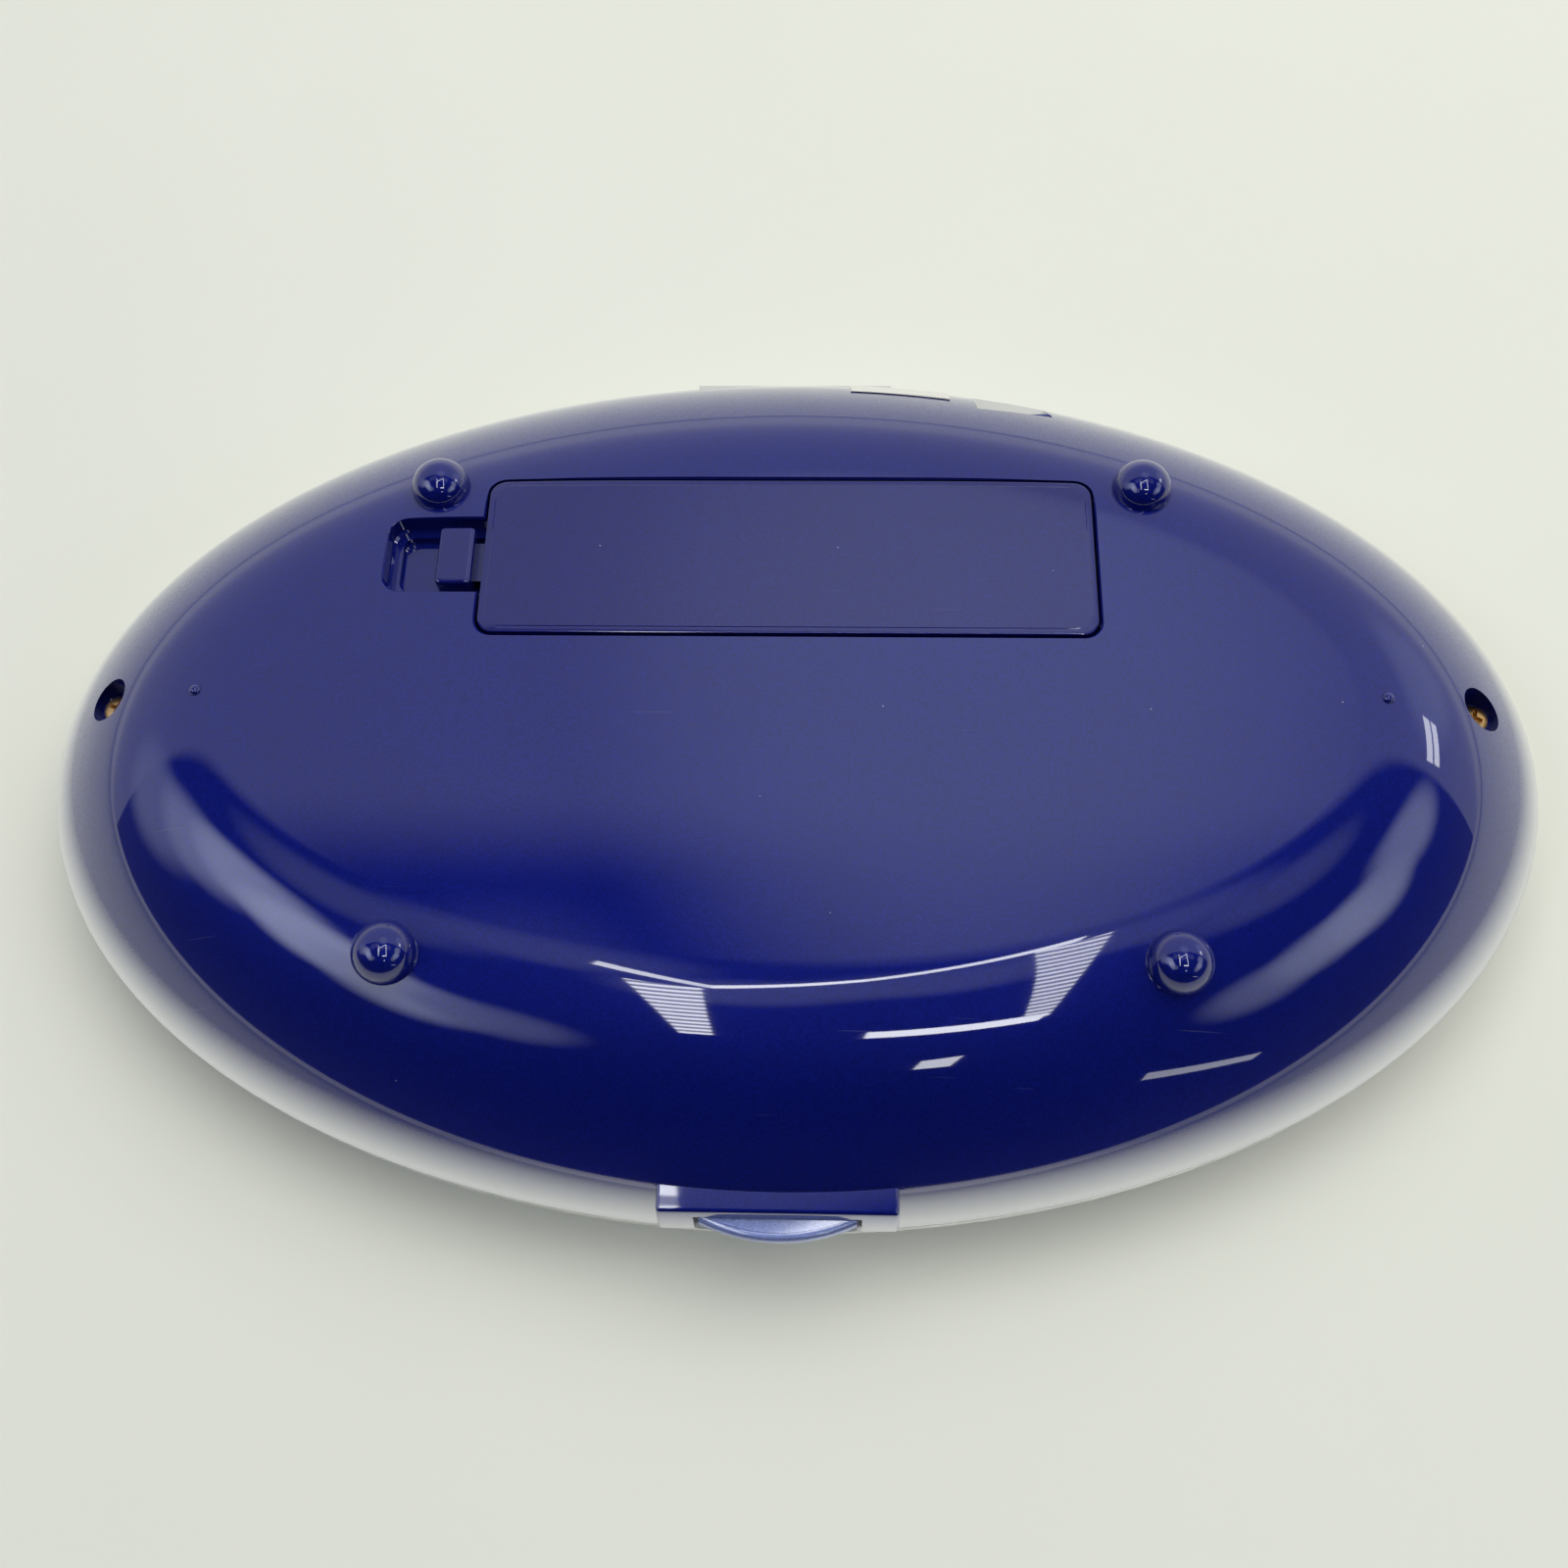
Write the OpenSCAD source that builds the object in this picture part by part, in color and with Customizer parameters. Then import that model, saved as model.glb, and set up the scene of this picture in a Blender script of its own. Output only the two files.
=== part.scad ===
// Compact oval digital bathroom scale, standing on its four moulded feet.
// Millimetres, +Z up, origin on the floor under the middle of the outline.
// The tap switch is at the front, -Y. The battery door faces the floor.

/* [Case] */
// Width of the oval case
case_w = 280; // [250:1:340]
// Depth of the oval case
case_d = 173; // [155:1:210]
// Height of the base shell, from its flat bottom to its rim
shell_h = 25; // [24:0.5:32]
// Wall of the base shell
wall = 2.5; // [2:0.1:3]
// Width of the curved skirt between the rim and the flat bottom
skirt_run = 40; // [36:1:44]
// How quickly the skirt falls away from the rim
skirt_power = 2.1; // [1.9:0.05:2.4]
// Number of sides of the oval
sides = 96; // [48:8:120]
// Height of the band of the top frame above the rim
frame_h = 4.5; // [4:0.5:6]
// Height of the weighing platform's edge
tread_h = 10.5; // [9.5:0.5:14]

/* [Feet and load cells] */
// Distance between the left and right feet
feet_x = 131; // [120:1:150]
// Distance between the front and rear feet
feet_y = 90.6; // [84:0.2:104]
// Height of the feet below the flat bottom
foot_h = 4; // [3:0.1:6]
// Radius of a foot's dome
foot_r = 5.5; // [4.5:0.1:7]
// Side of a square load cell
cell_side = 28; // [24:0.5:30]
// Travel of the platform on its load cells
tread_travel = 0.3; // [0.2:0.05:0.5]

/* [Battery bay] */
// Diameter of one cell
aa_d = 14.5; // [13.5:0.1:14.5]
// Length of one cell with its terminal
aa_l = 50.5; // [49.5:0.1:50.5]
// Distance from the middle of the case back to the middle of the bay
bay_y = 30.2; // [27:0.1:33]
// Thickness of the battery door
door_t = 2.2; // [1.8:0.1:2.6]
// Groove around the battery door
door_gap = 0.45; // [0.3:0.05:0.8]
// How far the thumb catch slides
catch_travel = 1.6; // [1:0.1:1.8]

/* [Switches] */
// Width of the toe tab
tab_w = 26.6; // [22:0.2:30]
// How far the toe tab stands out past the rim
tab_proud = 2; // [1:0.1:4]
// Width of the flat front block and of the flat rear bar
flat_w = 40.6; // [38:0.2:46]
// Travel of the unit slide switch
unit_travel = 3; // [2:0.5:4]

/* [Fasteners] */
// Distance between the two case screws
screw_x = 250; // [225:1:256]
// Radius of a screw well
well_r = 4.2; // [3.6:0.1:5]
// Radius of a screw's head
head_r = 2.7; // [2.4:0.1:3]
// Radius of a screw's shank
shank_r = 1.45; // [1.2:0.05:1.6]

/* [Hidden] */

$fn = 32;
eps = 0.01;
half_w = case_w / 2;
half_d = case_d / 2;
rim_z = foot_h + shell_h;
case_y = tab_proud / 2;            // puts the origin under the middle of the whole outline
lacquer = [0.09, 0.10, 0.32];
black = [0.08, 0.08, 0.09];

function oval(inset, f = 1) =
    [for (i = [0 : sides - 1]) let (t = 360 * i / sides)
        [f * (half_w - inset) * cos(t), f * (half_d - inset) * sin(t)]];
// Height of the outer skin at an inset from the outline, and its slope there
function skin_z(inset) = foot_h + shell_h * pow(max(0, 1 - inset / skirt_run), skirt_power);
function slope(inset) =
    atan(shell_h * skirt_power / skirt_run * pow(max(0, 1 - inset / skirt_run), skirt_power - 1));
// Inset of a point of the plan, by halving
function inset_at(x, y, lo = 0, hi = skirt_run, n = 14) =
    let (m = (lo + hi) / 2)
        n == 0 ? m
        : pow(x / (half_w - m), 2) + pow(y / (half_d - m), 2) < 1 ? inset_at(x, y, m, hi, n - 1)
        : inset_at(x, y, lo, m, n - 1);
// Ring of the skin at an inset, moved inwards by t along the skin's normal
function skin_ring(inset, t = 0) =
    [inset + t * sin(slope(inset)), 1, skin_z(inset) + t * cos(slope(inset))];
function edge_y(x, inset = 0) = (half_d - inset) * sqrt(1 - pow(x / (half_w - inset), 2));
function rounded(w, d, r, n = 5) =
    [for (c = [0 : 3], k = [0 : n]) let (t = 90 * c + 90 * k / n)
        [(c == 0 || c == 3 ? 1 : -1) * (w / 2 - r) + r * cos(t),
         (c < 2 ? 1 : -1) * (d / 2 - r) + r * sin(t)]];

outer_insets = skirt_run * [1, 0.76, 0.57, 0.42, 0.29, 0.19, 0.11, 0.05, 0];
inner_insets = skirt_run * [0.12, 0.23, 0.37, 0.54, 0.74, 0.95];
rim_w = 5;                         // flat rim that the top frame stands on
spigot_h = 2.2;

// A stack of oval rings, [inset, share of the oval, height], closed by a middle point at each end.
function stack_points(rings) =
    [for (r = rings) for (p = oval(r[0], r[1])) [p[0], p[1], r[2]]];
function stack_sides(n) =
    [for (r = [0 : n - 2], i = [0 : sides - 1]) let (j = (i + 1) % sides)
        each [[r * sides + i, (r + 1) * sides + i, (r + 1) * sides + j],
              [r * sides + i, (r + 1) * sides + j, r * sides + j]]];
function cap(r, mid, up) =
    [for (i = [0 : sides - 1]) let (j = (i + 1) % sides)
        up ? [mid, r * sides + j, r * sides + i] : [mid, r * sides + i, r * sides + j]];

module stack(rings, z_first, z_last) {
    n = len(rings);
    polyhedron(points = concat(stack_points(rings), [[0, 0, z_first], [0, 0, z_last]]),
               faces = concat(cap(0, n * sides, false), stack_sides(n),
                              cap(n - 1, n * sides + 1, true)));
}

// The curved bottom skin with a wall of thickness t, open at the rim
module bowl(t) {
    stack(concat([for (d = outer_insets) skin_ring(d)],
                 [for (z = [rim_z, rim_z - spigot_h - 1]) [rim_w, 1, z]],
                 [for (d = inner_insets) skin_ring(d, t)]),
          foot_h, foot_h + t);
}

// The space that the outside of the base shell takes up, or one that is bigger all round by grow
module shell_space(grow = 0) {
    stack([for (d = outer_insets) skin_ring(d, -grow)], foot_h - grow, rim_z - grow / 2);
}

module plate(inset, z0, z1) {
    translate([0, 0, z0]) linear_extrude(z1 - z0) polygon(oval(inset));
}

module ring(outer, inner, z0, z1) {
    difference() {
        plate(outer, z0, z1);
        plate(inner, z0 - 1, z1 + 1);
    }
}

module slab(at, w, d, r, z0, z1) {
    translate([at[0], at[1], z0]) linear_extrude(z1 - z0) polygon(rounded(w, d, r));
}

module post(at, r, z0, z1) {
    translate([at[0], at[1], z0]) cylinder(r = r, h = z1 - z0);
}

module box(lo, hi) {
    translate(lo) cube(hi - lo);
}

function unit(v) = v / norm(v);
wire_sides = 8;

// Round wire along straight runs, mitred at its corners
module wire(points, r) {
    n = len(points);
    pts = [for (k = [0 : n - 1])
        let (into = k > 0 ? unit(points[k] - points[k - 1]) : [0, 0, 0],
             out = k < n - 1 ? unit(points[k + 1] - points[k]) : [0, 0, 0],
             d = unit(into + out), u = unit(cross(d, [0.37, 0.81, 0.45])), v = cross(d, u),
             bend = unit(into - out + [0, 0, 1e-9]),
             stretch = k > 0 && k < n - 1 ? 1 / max(0.5, norm(into + out) / 2) : 1)
        for (m = [0 : wire_sides - 1])
            let (q = 360 * m / wire_sides, w = r * (cos(q) * u + sin(q) * v))
                points[k] + w + (stretch - 1) * (w * bend) * bend];
    quads = [for (k = [0 : n - 2], m = [0 : wire_sides - 1])
        let (m2 = (m + 1) % wire_sides, a = k * wire_sides, b = a + wire_sides)
            each [[a + m, b + m2, a + m2], [a + m, b + m, b + m2]]];
    ends = [[for (m = [0 : wire_sides - 1]) m],
            [for (m = [wire_sides - 1 : -1 : 0]) (n - 1) * wire_sides + m]];
    polyhedron(points = pts, faces = concat(quads, ends));
}

corners = [for (y = [-1, 1], x = [-1, 1]) [x * feet_x / 2, y * feet_y / 2]];

// ---- battery bay ----
bay_floor = foot_h + wall + 2.7;          // where the tray sits on the collar
collar_w = 2.4;
row_y = [for (s = [1, -1]) bay_y + s * (aa_d / 2 + 0.2)];
tray_wall = 1.2;
tray_in_d = 2 * aa_d + 0.4 + 0.6;
spring_l = 2.9;
dimple_l = 1.7;
contact_t = 0.4;
tray_in_w = 2 * aa_l + spring_l + dimple_l + 2 * contact_t;
cells_x = -tray_in_w / 2 + contact_t + spring_l;   // row A starts here, at its spring
cell_z = bay_floor + 0.4 + aa_d / 2;
tray_top = cell_z + aa_d / 2 + 0.4 + tray_wall;
door_w = tray_in_w + 2 * tray_wall + 3;
door_d = tray_in_d + 2 * tray_wall - 0.2;
opening_w = door_w + 2 * door_gap;
opening_d = door_d + 2 * door_gap;

hook_y = 9;                        // the door's two hooks, either side of its middle
hook_half = 3.5;

// ---- latch recess, at the +X end of the door ----
recess_w = 17.6;
recess_d = 15.4;
recess_z = bay_floor + 0.6;
ledge_w = 1.8;
recess_x = opening_w / 2 + recess_w / 2;
catch_w = 6.6;
catch_d = 12;
catch_x = door_w / 2 + catch_travel + 0.4;

// ---- feet, columns and load cells ----
column_r = 6;
cradle_side = cell_side + 2;
cradle_z = max(tray_top + 0.4, 26.2);
cradle_floor = 1.2;
cradle_rib = 0.8;
cell_t = 1.4;
tongue_x = 7.5;                    // a load cell's slots, either side of its tongue
tongue_y = 9;
cell_bottom = cradle_z + cradle_floor + cradle_rib;
pad_gap = tread_travel + 0.1;
pad_t = 1.5;
pad_bottom = cell_bottom + cell_t + pad_gap;

// ---- top frame and platform ----
deck_z = max(rim_z + 2.5, cell_bottom + cell_t + 1.7);
deck_top = deck_z + 2;
frame_top = max(rim_z + frame_h, deck_top);
tread_z = frame_top + 0.8;
tread_top = tread_z + tread_h;
tread_inset = 2.5;
tread_wall = 2.4;
deck_under = tread_top - 3;
mat_x = 37;                        // the mats' straight inner edges
mat_t = 1.6;
mat_sink = 1;

// ---- display ----
window_y = -50;
window_w = 62;
window_d = 27;
board_z = deck_top + 1.8;
board_t = 1.6;
board_posts = [for (x = [-38, 38], y = [-14, 14]) [x, window_y + y]];
lcd_bottom = board_z + board_t + 1;
lcd_t = 2.4;

// ---- front block and toe tab ----
block_in = 10.5;                   // insets of the block's inner face, of its foot and of its top edge
block_foot_in = 2.3;
block_top_in = 0.4;
block_z = rim_z - 7.4;
block_floor = 1.9;
tab_t = 3;
tab_z = rim_z - tab_t - 0.7;
pin_r = 1;
pin_y = -(half_d - 3.6);
pin_z = tab_z + tab_t / 2;
ear_gap = 0.3;
ear_w = 2.4;
tab_half = tab_w / 2 + ear_gap;
spring_w = 2.2;
lever_y = pin_y + 11;
lever_w = 9;

// ---- rear notch and unit switch ----
notch_x = -44.4;
notch_w = 15.2;
notch_y = edge_y(notch_x) - 8.5;
knob_w = 6;
knob_h = 2.8;
knob_z = rim_z - 4.6;
slot_play = 0.35;

// ---- rear label ----
label_x = -21.7;
label_w = 20;
label_h = 4.5;
label_t = 0.15;

// ---- locating pips ----
pip_x = 104.9;
pip_y = 2.2;

// ---- case screws ----
screw_y = 4.6;
head_z = skin_z(inset_at(screw_x / 2, screw_y)) + 4.5;
head_h = 2;
tube_top = rim_z - 4.6;
boss_r = 3.3;

module base_shell() {
    color(lacquer) difference() {
        union() {
            bowl(wall);
            intersection() {
                shell_space();
                union() {
                    // collar round the battery opening
                    slab([0, bay_y], opening_w + 2 * collar_w, opening_d + 2 * collar_w, 3,
                         foot_h, bay_floor);
                    // walls of the latch recess
                    box([opening_w / 2 - eps, bay_y - recess_d / 2 - wall, foot_h],
                        [opening_w / 2 + recess_w + wall, bay_y + recess_d / 2 + wall,
                         recess_z + wall]);
                    // columns that carry the load cells straight over the feet
                    for (c = corners) post(c, column_r, foot_h + wall, cradle_z);
                    // tubes of the screw wells
                    for (s = [-1, 1])
                        post([s * screw_x / 2, screw_y], well_r + 1.8, foot_h + wall, tube_top);
                    // walls of the rear notch
                    box([notch_x - notch_w / 2 - 2, notch_y - 2, foot_h],
                        [notch_x + notch_w / 2 + 2, half_d, rim_z - eps]);
                }
            }
            // proud block with a level underside that carries the toe tab
            rotate([90, 0, 90]) translate([0, 0, -flat_w / 2]) linear_extrude(flat_w)
                polygon([[-half_d + block_in, block_z], [-half_d + block_foot_in, block_z],
                         [-half_d + block_top_in, rim_z], [-half_d + block_in, rim_z]]);
            // four dome feet, moulded with the shell
            for (c = corners) translate([c[0], c[1], foot_r - 0.3]) sphere(r = foot_r);
            // two locating pips
            for (s = [-1, 1])
                translate([s * pip_x, pip_y, skin_z(inset_at(pip_x, pip_y)) + 0.3]) sphere(r = 1.2);
        }
        // flats on the tips of the feet
        for (c = corners) box([c[0] - 6, c[1] - 6, -2], [c[0] + 6, c[1] + 6, 0]);
        // battery opening
        slab([0, bay_y], opening_w, opening_d, 3.4, -1, bay_floor + 1);
        // slots for the hooks of the battery door
        for (s = [-1, 1])
            box([-opening_w / 2 - collar_w - 1, bay_y + s * hook_y - hook_half - 0.8, foot_h + wall + 1],
                [-opening_w / 2 + 1, bay_y + s * hook_y + hook_half + 0.8, bay_floor + 1]);
        // finger recess, with a ledge round its floor
        slab([recess_x - 1.5, bay_y], recess_w + 3, recess_d, 3.4, -1, recess_z - 1.6);
        slab([recess_x - ledge_w / 2 - 1.5, bay_y], recess_w + 3 - ledge_w, recess_d - 2 * ledge_w,
             2.4, -1, recess_z);
        // screw wells
        for (s = [-1, 1]) {
            post([s * screw_x / 2, screw_y], well_r, -1, head_z + head_h);
            post([s * screw_x / 2, screw_y], shank_r + 0.3, 0, rim_z);
        }
        // slot for the toe tab and its ears, with room for the spring behind the front wall
        box([-tab_half - ear_w - 0.2, -half_d - 5, block_z + block_floor],
            [tab_half + ear_w + 0.2, -half_d + block_in - 1.5, rim_z + 1]);
        box([-tab_half - ear_w - spring_w - 0.4, pin_y - 1.85, block_z + 3.3],
            [tab_half + ear_w + spring_w + 0.4, -half_d + block_in - 1.5, rim_z + 1]);
        box([-lever_w / 2 - 1, -half_d - 5, block_z + block_floor],
            [lever_w / 2 + 1, -half_d + block_in + 5, rim_z + 1]);
        // rear notch, with a slot through its back wall
        box([notch_x - notch_w / 2, notch_y, -1], [notch_x + notch_w / 2, half_d + 1, rim_z + 1]);
        box([notch_x - knob_w / 2 - slot_play - unit_travel / 2, notch_y - 5, knob_z - slot_play],
            [notch_x + knob_w / 2 + slot_play + unit_travel / 2, notch_y + 1,
             knob_z + knob_h + slot_play]);
    }
}

module battery_cover() {
    color(lacquer) difference() {
        union() {
            intersection() {
                bowl(door_t);
                slab([0, bay_y], door_w, door_d, 3, 0, bay_floor - 0.3);
            }
            // two hooks at the -X end
            for (s = [-1, 1])
                box([-door_w / 2 - 1.6, bay_y + s * hook_y - hook_half, foot_h + wall + 1.4],
                    [-door_w / 2 + 4, bay_y + s * hook_y + hook_half, foot_h + wall + 2.4]);
            for (s = [-1, 1])
                box([-door_w / 2 + 1, bay_y + s * hook_y - hook_half, foot_h + 0.8],
                    [-door_w / 2 + 4, bay_y + s * hook_y + hook_half, foot_h + wall + 2.4]);
            // guide for the thumb catch
            box([door_w / 2 - 9, bay_y - 5.5, foot_h + 1], [door_w / 2 - 1, bay_y + 5.5, bay_floor - 0.4]);
        }
        // slot that the catch's tongue slides in, through the end of the door
        box([door_w / 2 - 7.5, bay_y - 4.3, bay_floor - 2.4], [door_w / 2 + 1, bay_y + 4.3, bay_floor - 0.9]);
    }
}

module cover_latch() {
    top = bay_floor - 1.4;
    color(lacquer) union() {
        slab([catch_x + catch_w / 2, bay_y], catch_w, catch_d, 0.8,
             skin_z(inset_at(catch_x + catch_w / 2, bay_y)) + 0.1, top);
        box([door_w / 2 - 7.5 + catch_travel + 0.3, bay_y - 4, bay_floor - 2.1],
            [catch_x + 1, bay_y + 4, bay_floor - 1.6]);
    }
}

module case_screws() {
    color([0.80, 0.62, 0.22]) for (s = [-1, 1]) {
        at = [s * screw_x / 2, screw_y];
        difference() {
            union() {
                post(at, head_r, head_z, head_z + head_h);
                translate([at[0], at[1], head_z]) intersection() {
                    translate([0, 0, head_r * 1.45]) sphere(r = head_r * 1.76);
                    translate([0, 0, -2]) cylinder(r = head_r, h = 2 + eps);
                }
                post(at, shank_r, head_z + eps, rim_z + 1.6);
            }
            for (a = [0, 90]) translate([at[0], at[1], head_z - 2]) rotate([0, 0, a + 20])
                cube([3.2, 0.75, 5.2], center = true);
        }
    }
}

module rear_label() {
    // a thin blank sticker that follows the rear skirt of the base shell
    color([0.92, 0.92, 0.88]) intersection() {
        difference() {
            shell_space(label_t);
            shell_space();
        }
        box([label_x - label_w / 2, half_d / 2, rim_z - label_h - 0.6],
            [label_x + label_w / 2, half_d + 2, rim_z - 0.6]);
    }
}

module battery_tray() {
    w = tray_in_w + 2 * tray_wall;
    d = tray_in_d + 2 * tray_wall;
    color(black) difference() {
        union() {
            box([-w / 2, bay_y - d / 2, bay_floor], [w / 2, bay_y + d / 2, tray_top]);
            slab([0, bay_y], opening_w - 0.6, opening_d + 2 * collar_w - 0.2, 3,
                 bay_floor, bay_floor + 1.4);
        }
        box([-tray_in_w / 2, bay_y - tray_in_d / 2, bay_floor - 1],
            [tray_in_w / 2, bay_y + tray_in_d / 2, tray_top - tray_wall]);
        // wire holes in the -X end
        for (y = row_y) translate([-w / 2 - 1, y, tray_top - 4]) rotate([0, 90, 0])
            cylinder(r = 1.1, h = tray_wall + 2);
    }
}

// One cell lying along X, its terminal towards +X
module aa_cell() {
    rotate([0, 90, 0]) union() {
        cylinder(r = aa_d / 2, h = aa_l - 1);
        cylinder(r = 2.7, h = aa_l);
    }
}

module battery(i) {
    row = i < 2 ? 0 : 1;
    way = row == 0 ? 1 : -1;
    color([0.72, 0.56, 0.25])
        translate([way * (cells_x + (i % 2) * aa_l), row_y[row], cell_z])
            rotate([0, 0, way < 0 ? 180 : 0]) aa_cell();
}

module contact_plate(x, way, rows) {
    lo = row_y[max(rows)];
    hi = row_y[min(rows)];
    box([min(x, x - way * contact_t), lo - 6, cell_z - 6], [max(x, x - way * contact_t), hi + 6, cell_z + 6]);
}

module dimple(x, way, y) {
    translate([x, y, cell_z]) rotate([0, way * 90, 0]) cylinder(r = 3, h = dimple_l);
}

// A conical contact spring along X, from its wide end at x
module contact_spring(x, way, y) {
    turns = 2.6;
    steps = 40;
    ring_n = 8;
    wire_r = 0.35;
    pts = [for (k = [0 : steps], m = [0 : ring_n - 1])
        let (t = k / steps, a = 360 * turns * t, q = 360 * m / ring_n, r = 4.6 - 2 * t + wire_r * cos(q))
            [x + way * (wire_r + (spring_l - 2 * wire_r) * t + wire_r * sin(q)),
             y + r * cos(a), cell_z + r * sin(a)]];
    n = steps * ring_n;
    side_faces = [for (k = [0 : steps - 1], m = [0 : ring_n - 1]) let (m2 = (m + 1) % ring_n)
        each [[k * ring_n + m, (k + 1) * ring_n + m2, (k + 1) * ring_n + m],
              [k * ring_n + m, k * ring_n + m2, (k + 1) * ring_n + m2]]];
    ends = [[for (m = [ring_n - 1 : -1 : 0]) m], [for (m = [0 : ring_n - 1]) n + m]];
    polyhedron(points = pts, faces = way > 0 ? concat(side_faces, ends)
        : [for (f = concat(side_faces, ends)) [for (k = [len(f) - 1 : -1 : 0]) f[k]]]);
}

end_x = tray_in_w / 2;

module contact_negative() {
    color([0.78, 0.78, 0.76]) {
        contact_plate(-end_x, -1, [0]);
        contact_spring(-end_x + contact_t, 1, row_y[0]);
    }
}

module contact_positive() {
    color([0.78, 0.78, 0.76]) union() {
        contact_plate(-end_x, -1, [1]);
        dimple(-end_x + contact_t, 1, row_y[1]);
    }
}

module contact_bridge() {
    color([0.78, 0.78, 0.76]) {
        union() {
            contact_plate(end_x, 1, [0, 1]);
            dimple(end_x - contact_t, -1, row_y[0]);
        }
        contact_spring(end_x - contact_t, -1, row_y[1]);
    }
}

lead_r = 0.7;
lead_z = deck_z - lead_r - 0.2;
lead_hole = [0, -26];

module battery_lead() {
    z0 = tray_top - 4;
    color([0.7, 0.1, 0.1]) for (k = [0, 1]) {
        tray_x = -tray_in_w / 2 - tray_wall;
        x = tray_x - 3.1 + 1.6 * k;
        y = bay_y - opening_d / 2 - 8 - 2 * k;
        z1 = lead_z - 0.4 - 1.8 * k;
        up = [lead_hole[0] - 12.6 + 2 * k, lead_hole[1] + 1.4];
        wire([[tray_x + 0.1, row_y[k], z0], [x, row_y[k], z0], [x, y, z0], [x, y, z1],
              [up[0], up[1], z1], [up[0], up[1], board_z]], lead_r * 0.8);
    }
}

module cell_leads() {
    color([0.85, 0.85, 0.85]) for (s = [-1, 1]) {
        front = [s * 8.5, lead_hole[1] - 0.8];
        rear = [s * 4, lead_hole[1] + 0.8];
        wire([[s * (feet_x / 2 - cell_side / 2 + 2), -feet_y / 2, cell_bottom + cell_t + lead_r],
              [s * (feet_x / 2 - cradle_side / 2 - 2), -feet_y / 2, lead_z],
              [front[0], front[1], lead_z], [front[0], front[1], board_z]], lead_r);
        wire([[s * (feet_x / 2 - cell_side / 2 + 2), feet_y / 2, cell_bottom + cell_t + lead_r],
              [s * (feet_x / 2 - cradle_side / 2 - 2), feet_y / 2, lead_z],
              [rear[0], rear[1], lead_z], [rear[0], rear[1], board_z]], lead_r);
    }
}

module cell_cradles() {
    top = cell_bottom + 1;
    color([0.2, 0.2, 0.22]) for (c = corners) difference() {
        slab(c, cradle_side, cradle_side, 1.5, cradle_z, top);
        slab(c, cell_side + 0.4, cell_side + 0.4, 0.9, cell_bottom, top + 1);
        box([c[0] - cell_side / 2 + 4, c[1] - cell_side / 2 - 3, cradle_z + cradle_floor],
            [c[0] + cell_side / 2 - 4, c[1] + cell_side / 2 + 3, top + 1]);
    }
}

// A stamped steel load cell: an outer frame and a tongue between two slots
module load_cell(i) {
    c = corners[i];
    color([0.75, 0.76, 0.78]) difference() {
        slab(c, cell_side, cell_side, 0.8, cell_bottom, cell_bottom + cell_t);
        for (s = [-1, 1])
            box([c[0] + s * tongue_x - 1, c[1] - tongue_y, cell_bottom - 1],
                [c[0] + s * tongue_x + 1, c[1] + tongue_y, cell_bottom + 3]);
        box([c[0] - tongue_x, c[1] + tongue_y - 2, cell_bottom - 1],
            [c[0] + tongue_x, c[1] + tongue_y, cell_bottom + 3]);
    }
}

module strain_gauges() {
    color([0.9, 0.9, 0.85]) for (c = corners)
        slab([c[0], c[1] - tongue_y + 0.4], 7, 4, 1, cell_bottom + cell_t, cell_bottom + cell_t + 0.6);
}

module top_frame() {
    color([0.16, 0.17, 0.20]) difference() {
        union() {
            ring(0, rim_w + 2.25, rim_z, deck_z + 0.5);
            plate(0.6, deck_z, deck_top);
            ring(rim_w + 0.25, rim_w + 2.25, rim_z - spigot_h, rim_z + 0.5);
            // straight rear bar
            box([-flat_w / 2, half_d - 8, rim_z], [flat_w / 2, half_d, deck_top]);
            // bosses that the case screws turn into
            for (s = [-1, 1]) post([s * screw_x / 2, screw_y], boss_r, tube_top, deck_top);
            // ears that hold the toe tab's pins
            for (s = [-1, 1])
                box([s * (tab_half + ear_w / 2) - ear_w / 2, pin_y - 1.6, pin_z - 1.8],
                    [s * (tab_half + ear_w / 2) + ear_w / 2, pin_y + 2.4, rim_z + 0.5]);
            // posts under the main board
            for (p = board_posts) post(p, 2.6, deck_top - eps, board_z);
        }
        // holes that the platform's posts pass through
        for (c = corners) post(c, 8, rim_z - 3, deck_top + 1);
        // screw holes
        for (s = [-1, 1]) post([s * screw_x / 2, screw_y], shank_r + 0.05, 0, rim_z + 2);
        for (p = board_posts) post(p, 0.9, deck_top + 0.2, board_z + 1);
        // pin holes
        translate([-tab_w, pin_y, pin_z]) rotate([0, 90, 0]) cylinder(r = pin_r + 0.05, h = 2 * tab_w);
        // room for the toe tab in the spigot and in the rim band
        box([-tab_w / 2 - ear_gap, -half_d - 5, rim_z - 4], [tab_w / 2 + ear_gap, pin_y + 6, rim_z + 0.4]);
        box([-lever_w / 2 - 1, -half_d - 5, rim_z - 4], [lever_w / 2 + 1, pin_y + 14, rim_z + 1.2]);
        // room for the ends of the front block in the spigot
        for (m = [0, 1]) mirror([m, 0, 0])
            box([tab_half + ear_w + 0.1, -half_d, rim_z - 3], [flat_w / 2 + 0.3, -half_d + 10, rim_z]);
        // wire hole
        slab(lead_hole, 28, 6, 2, rim_z, deck_top + 1);
        // room for the walls of the rear notch in the spigot
        box([notch_x - notch_w / 2 - 2.3, notch_y - 11, rim_z - 3],
            [notch_x + notch_w / 2 + 2.3, half_d, rim_z]);
    }
}

module main_board() {
    color([0.05, 0.32, 0.14]) difference() {
        box([-45, window_y - 18, board_z], [45, window_y + 29, board_z + board_t]);
        for (p = board_posts) post(p, 1.3, board_z - 1, board_z + 3);
    }
}

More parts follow.
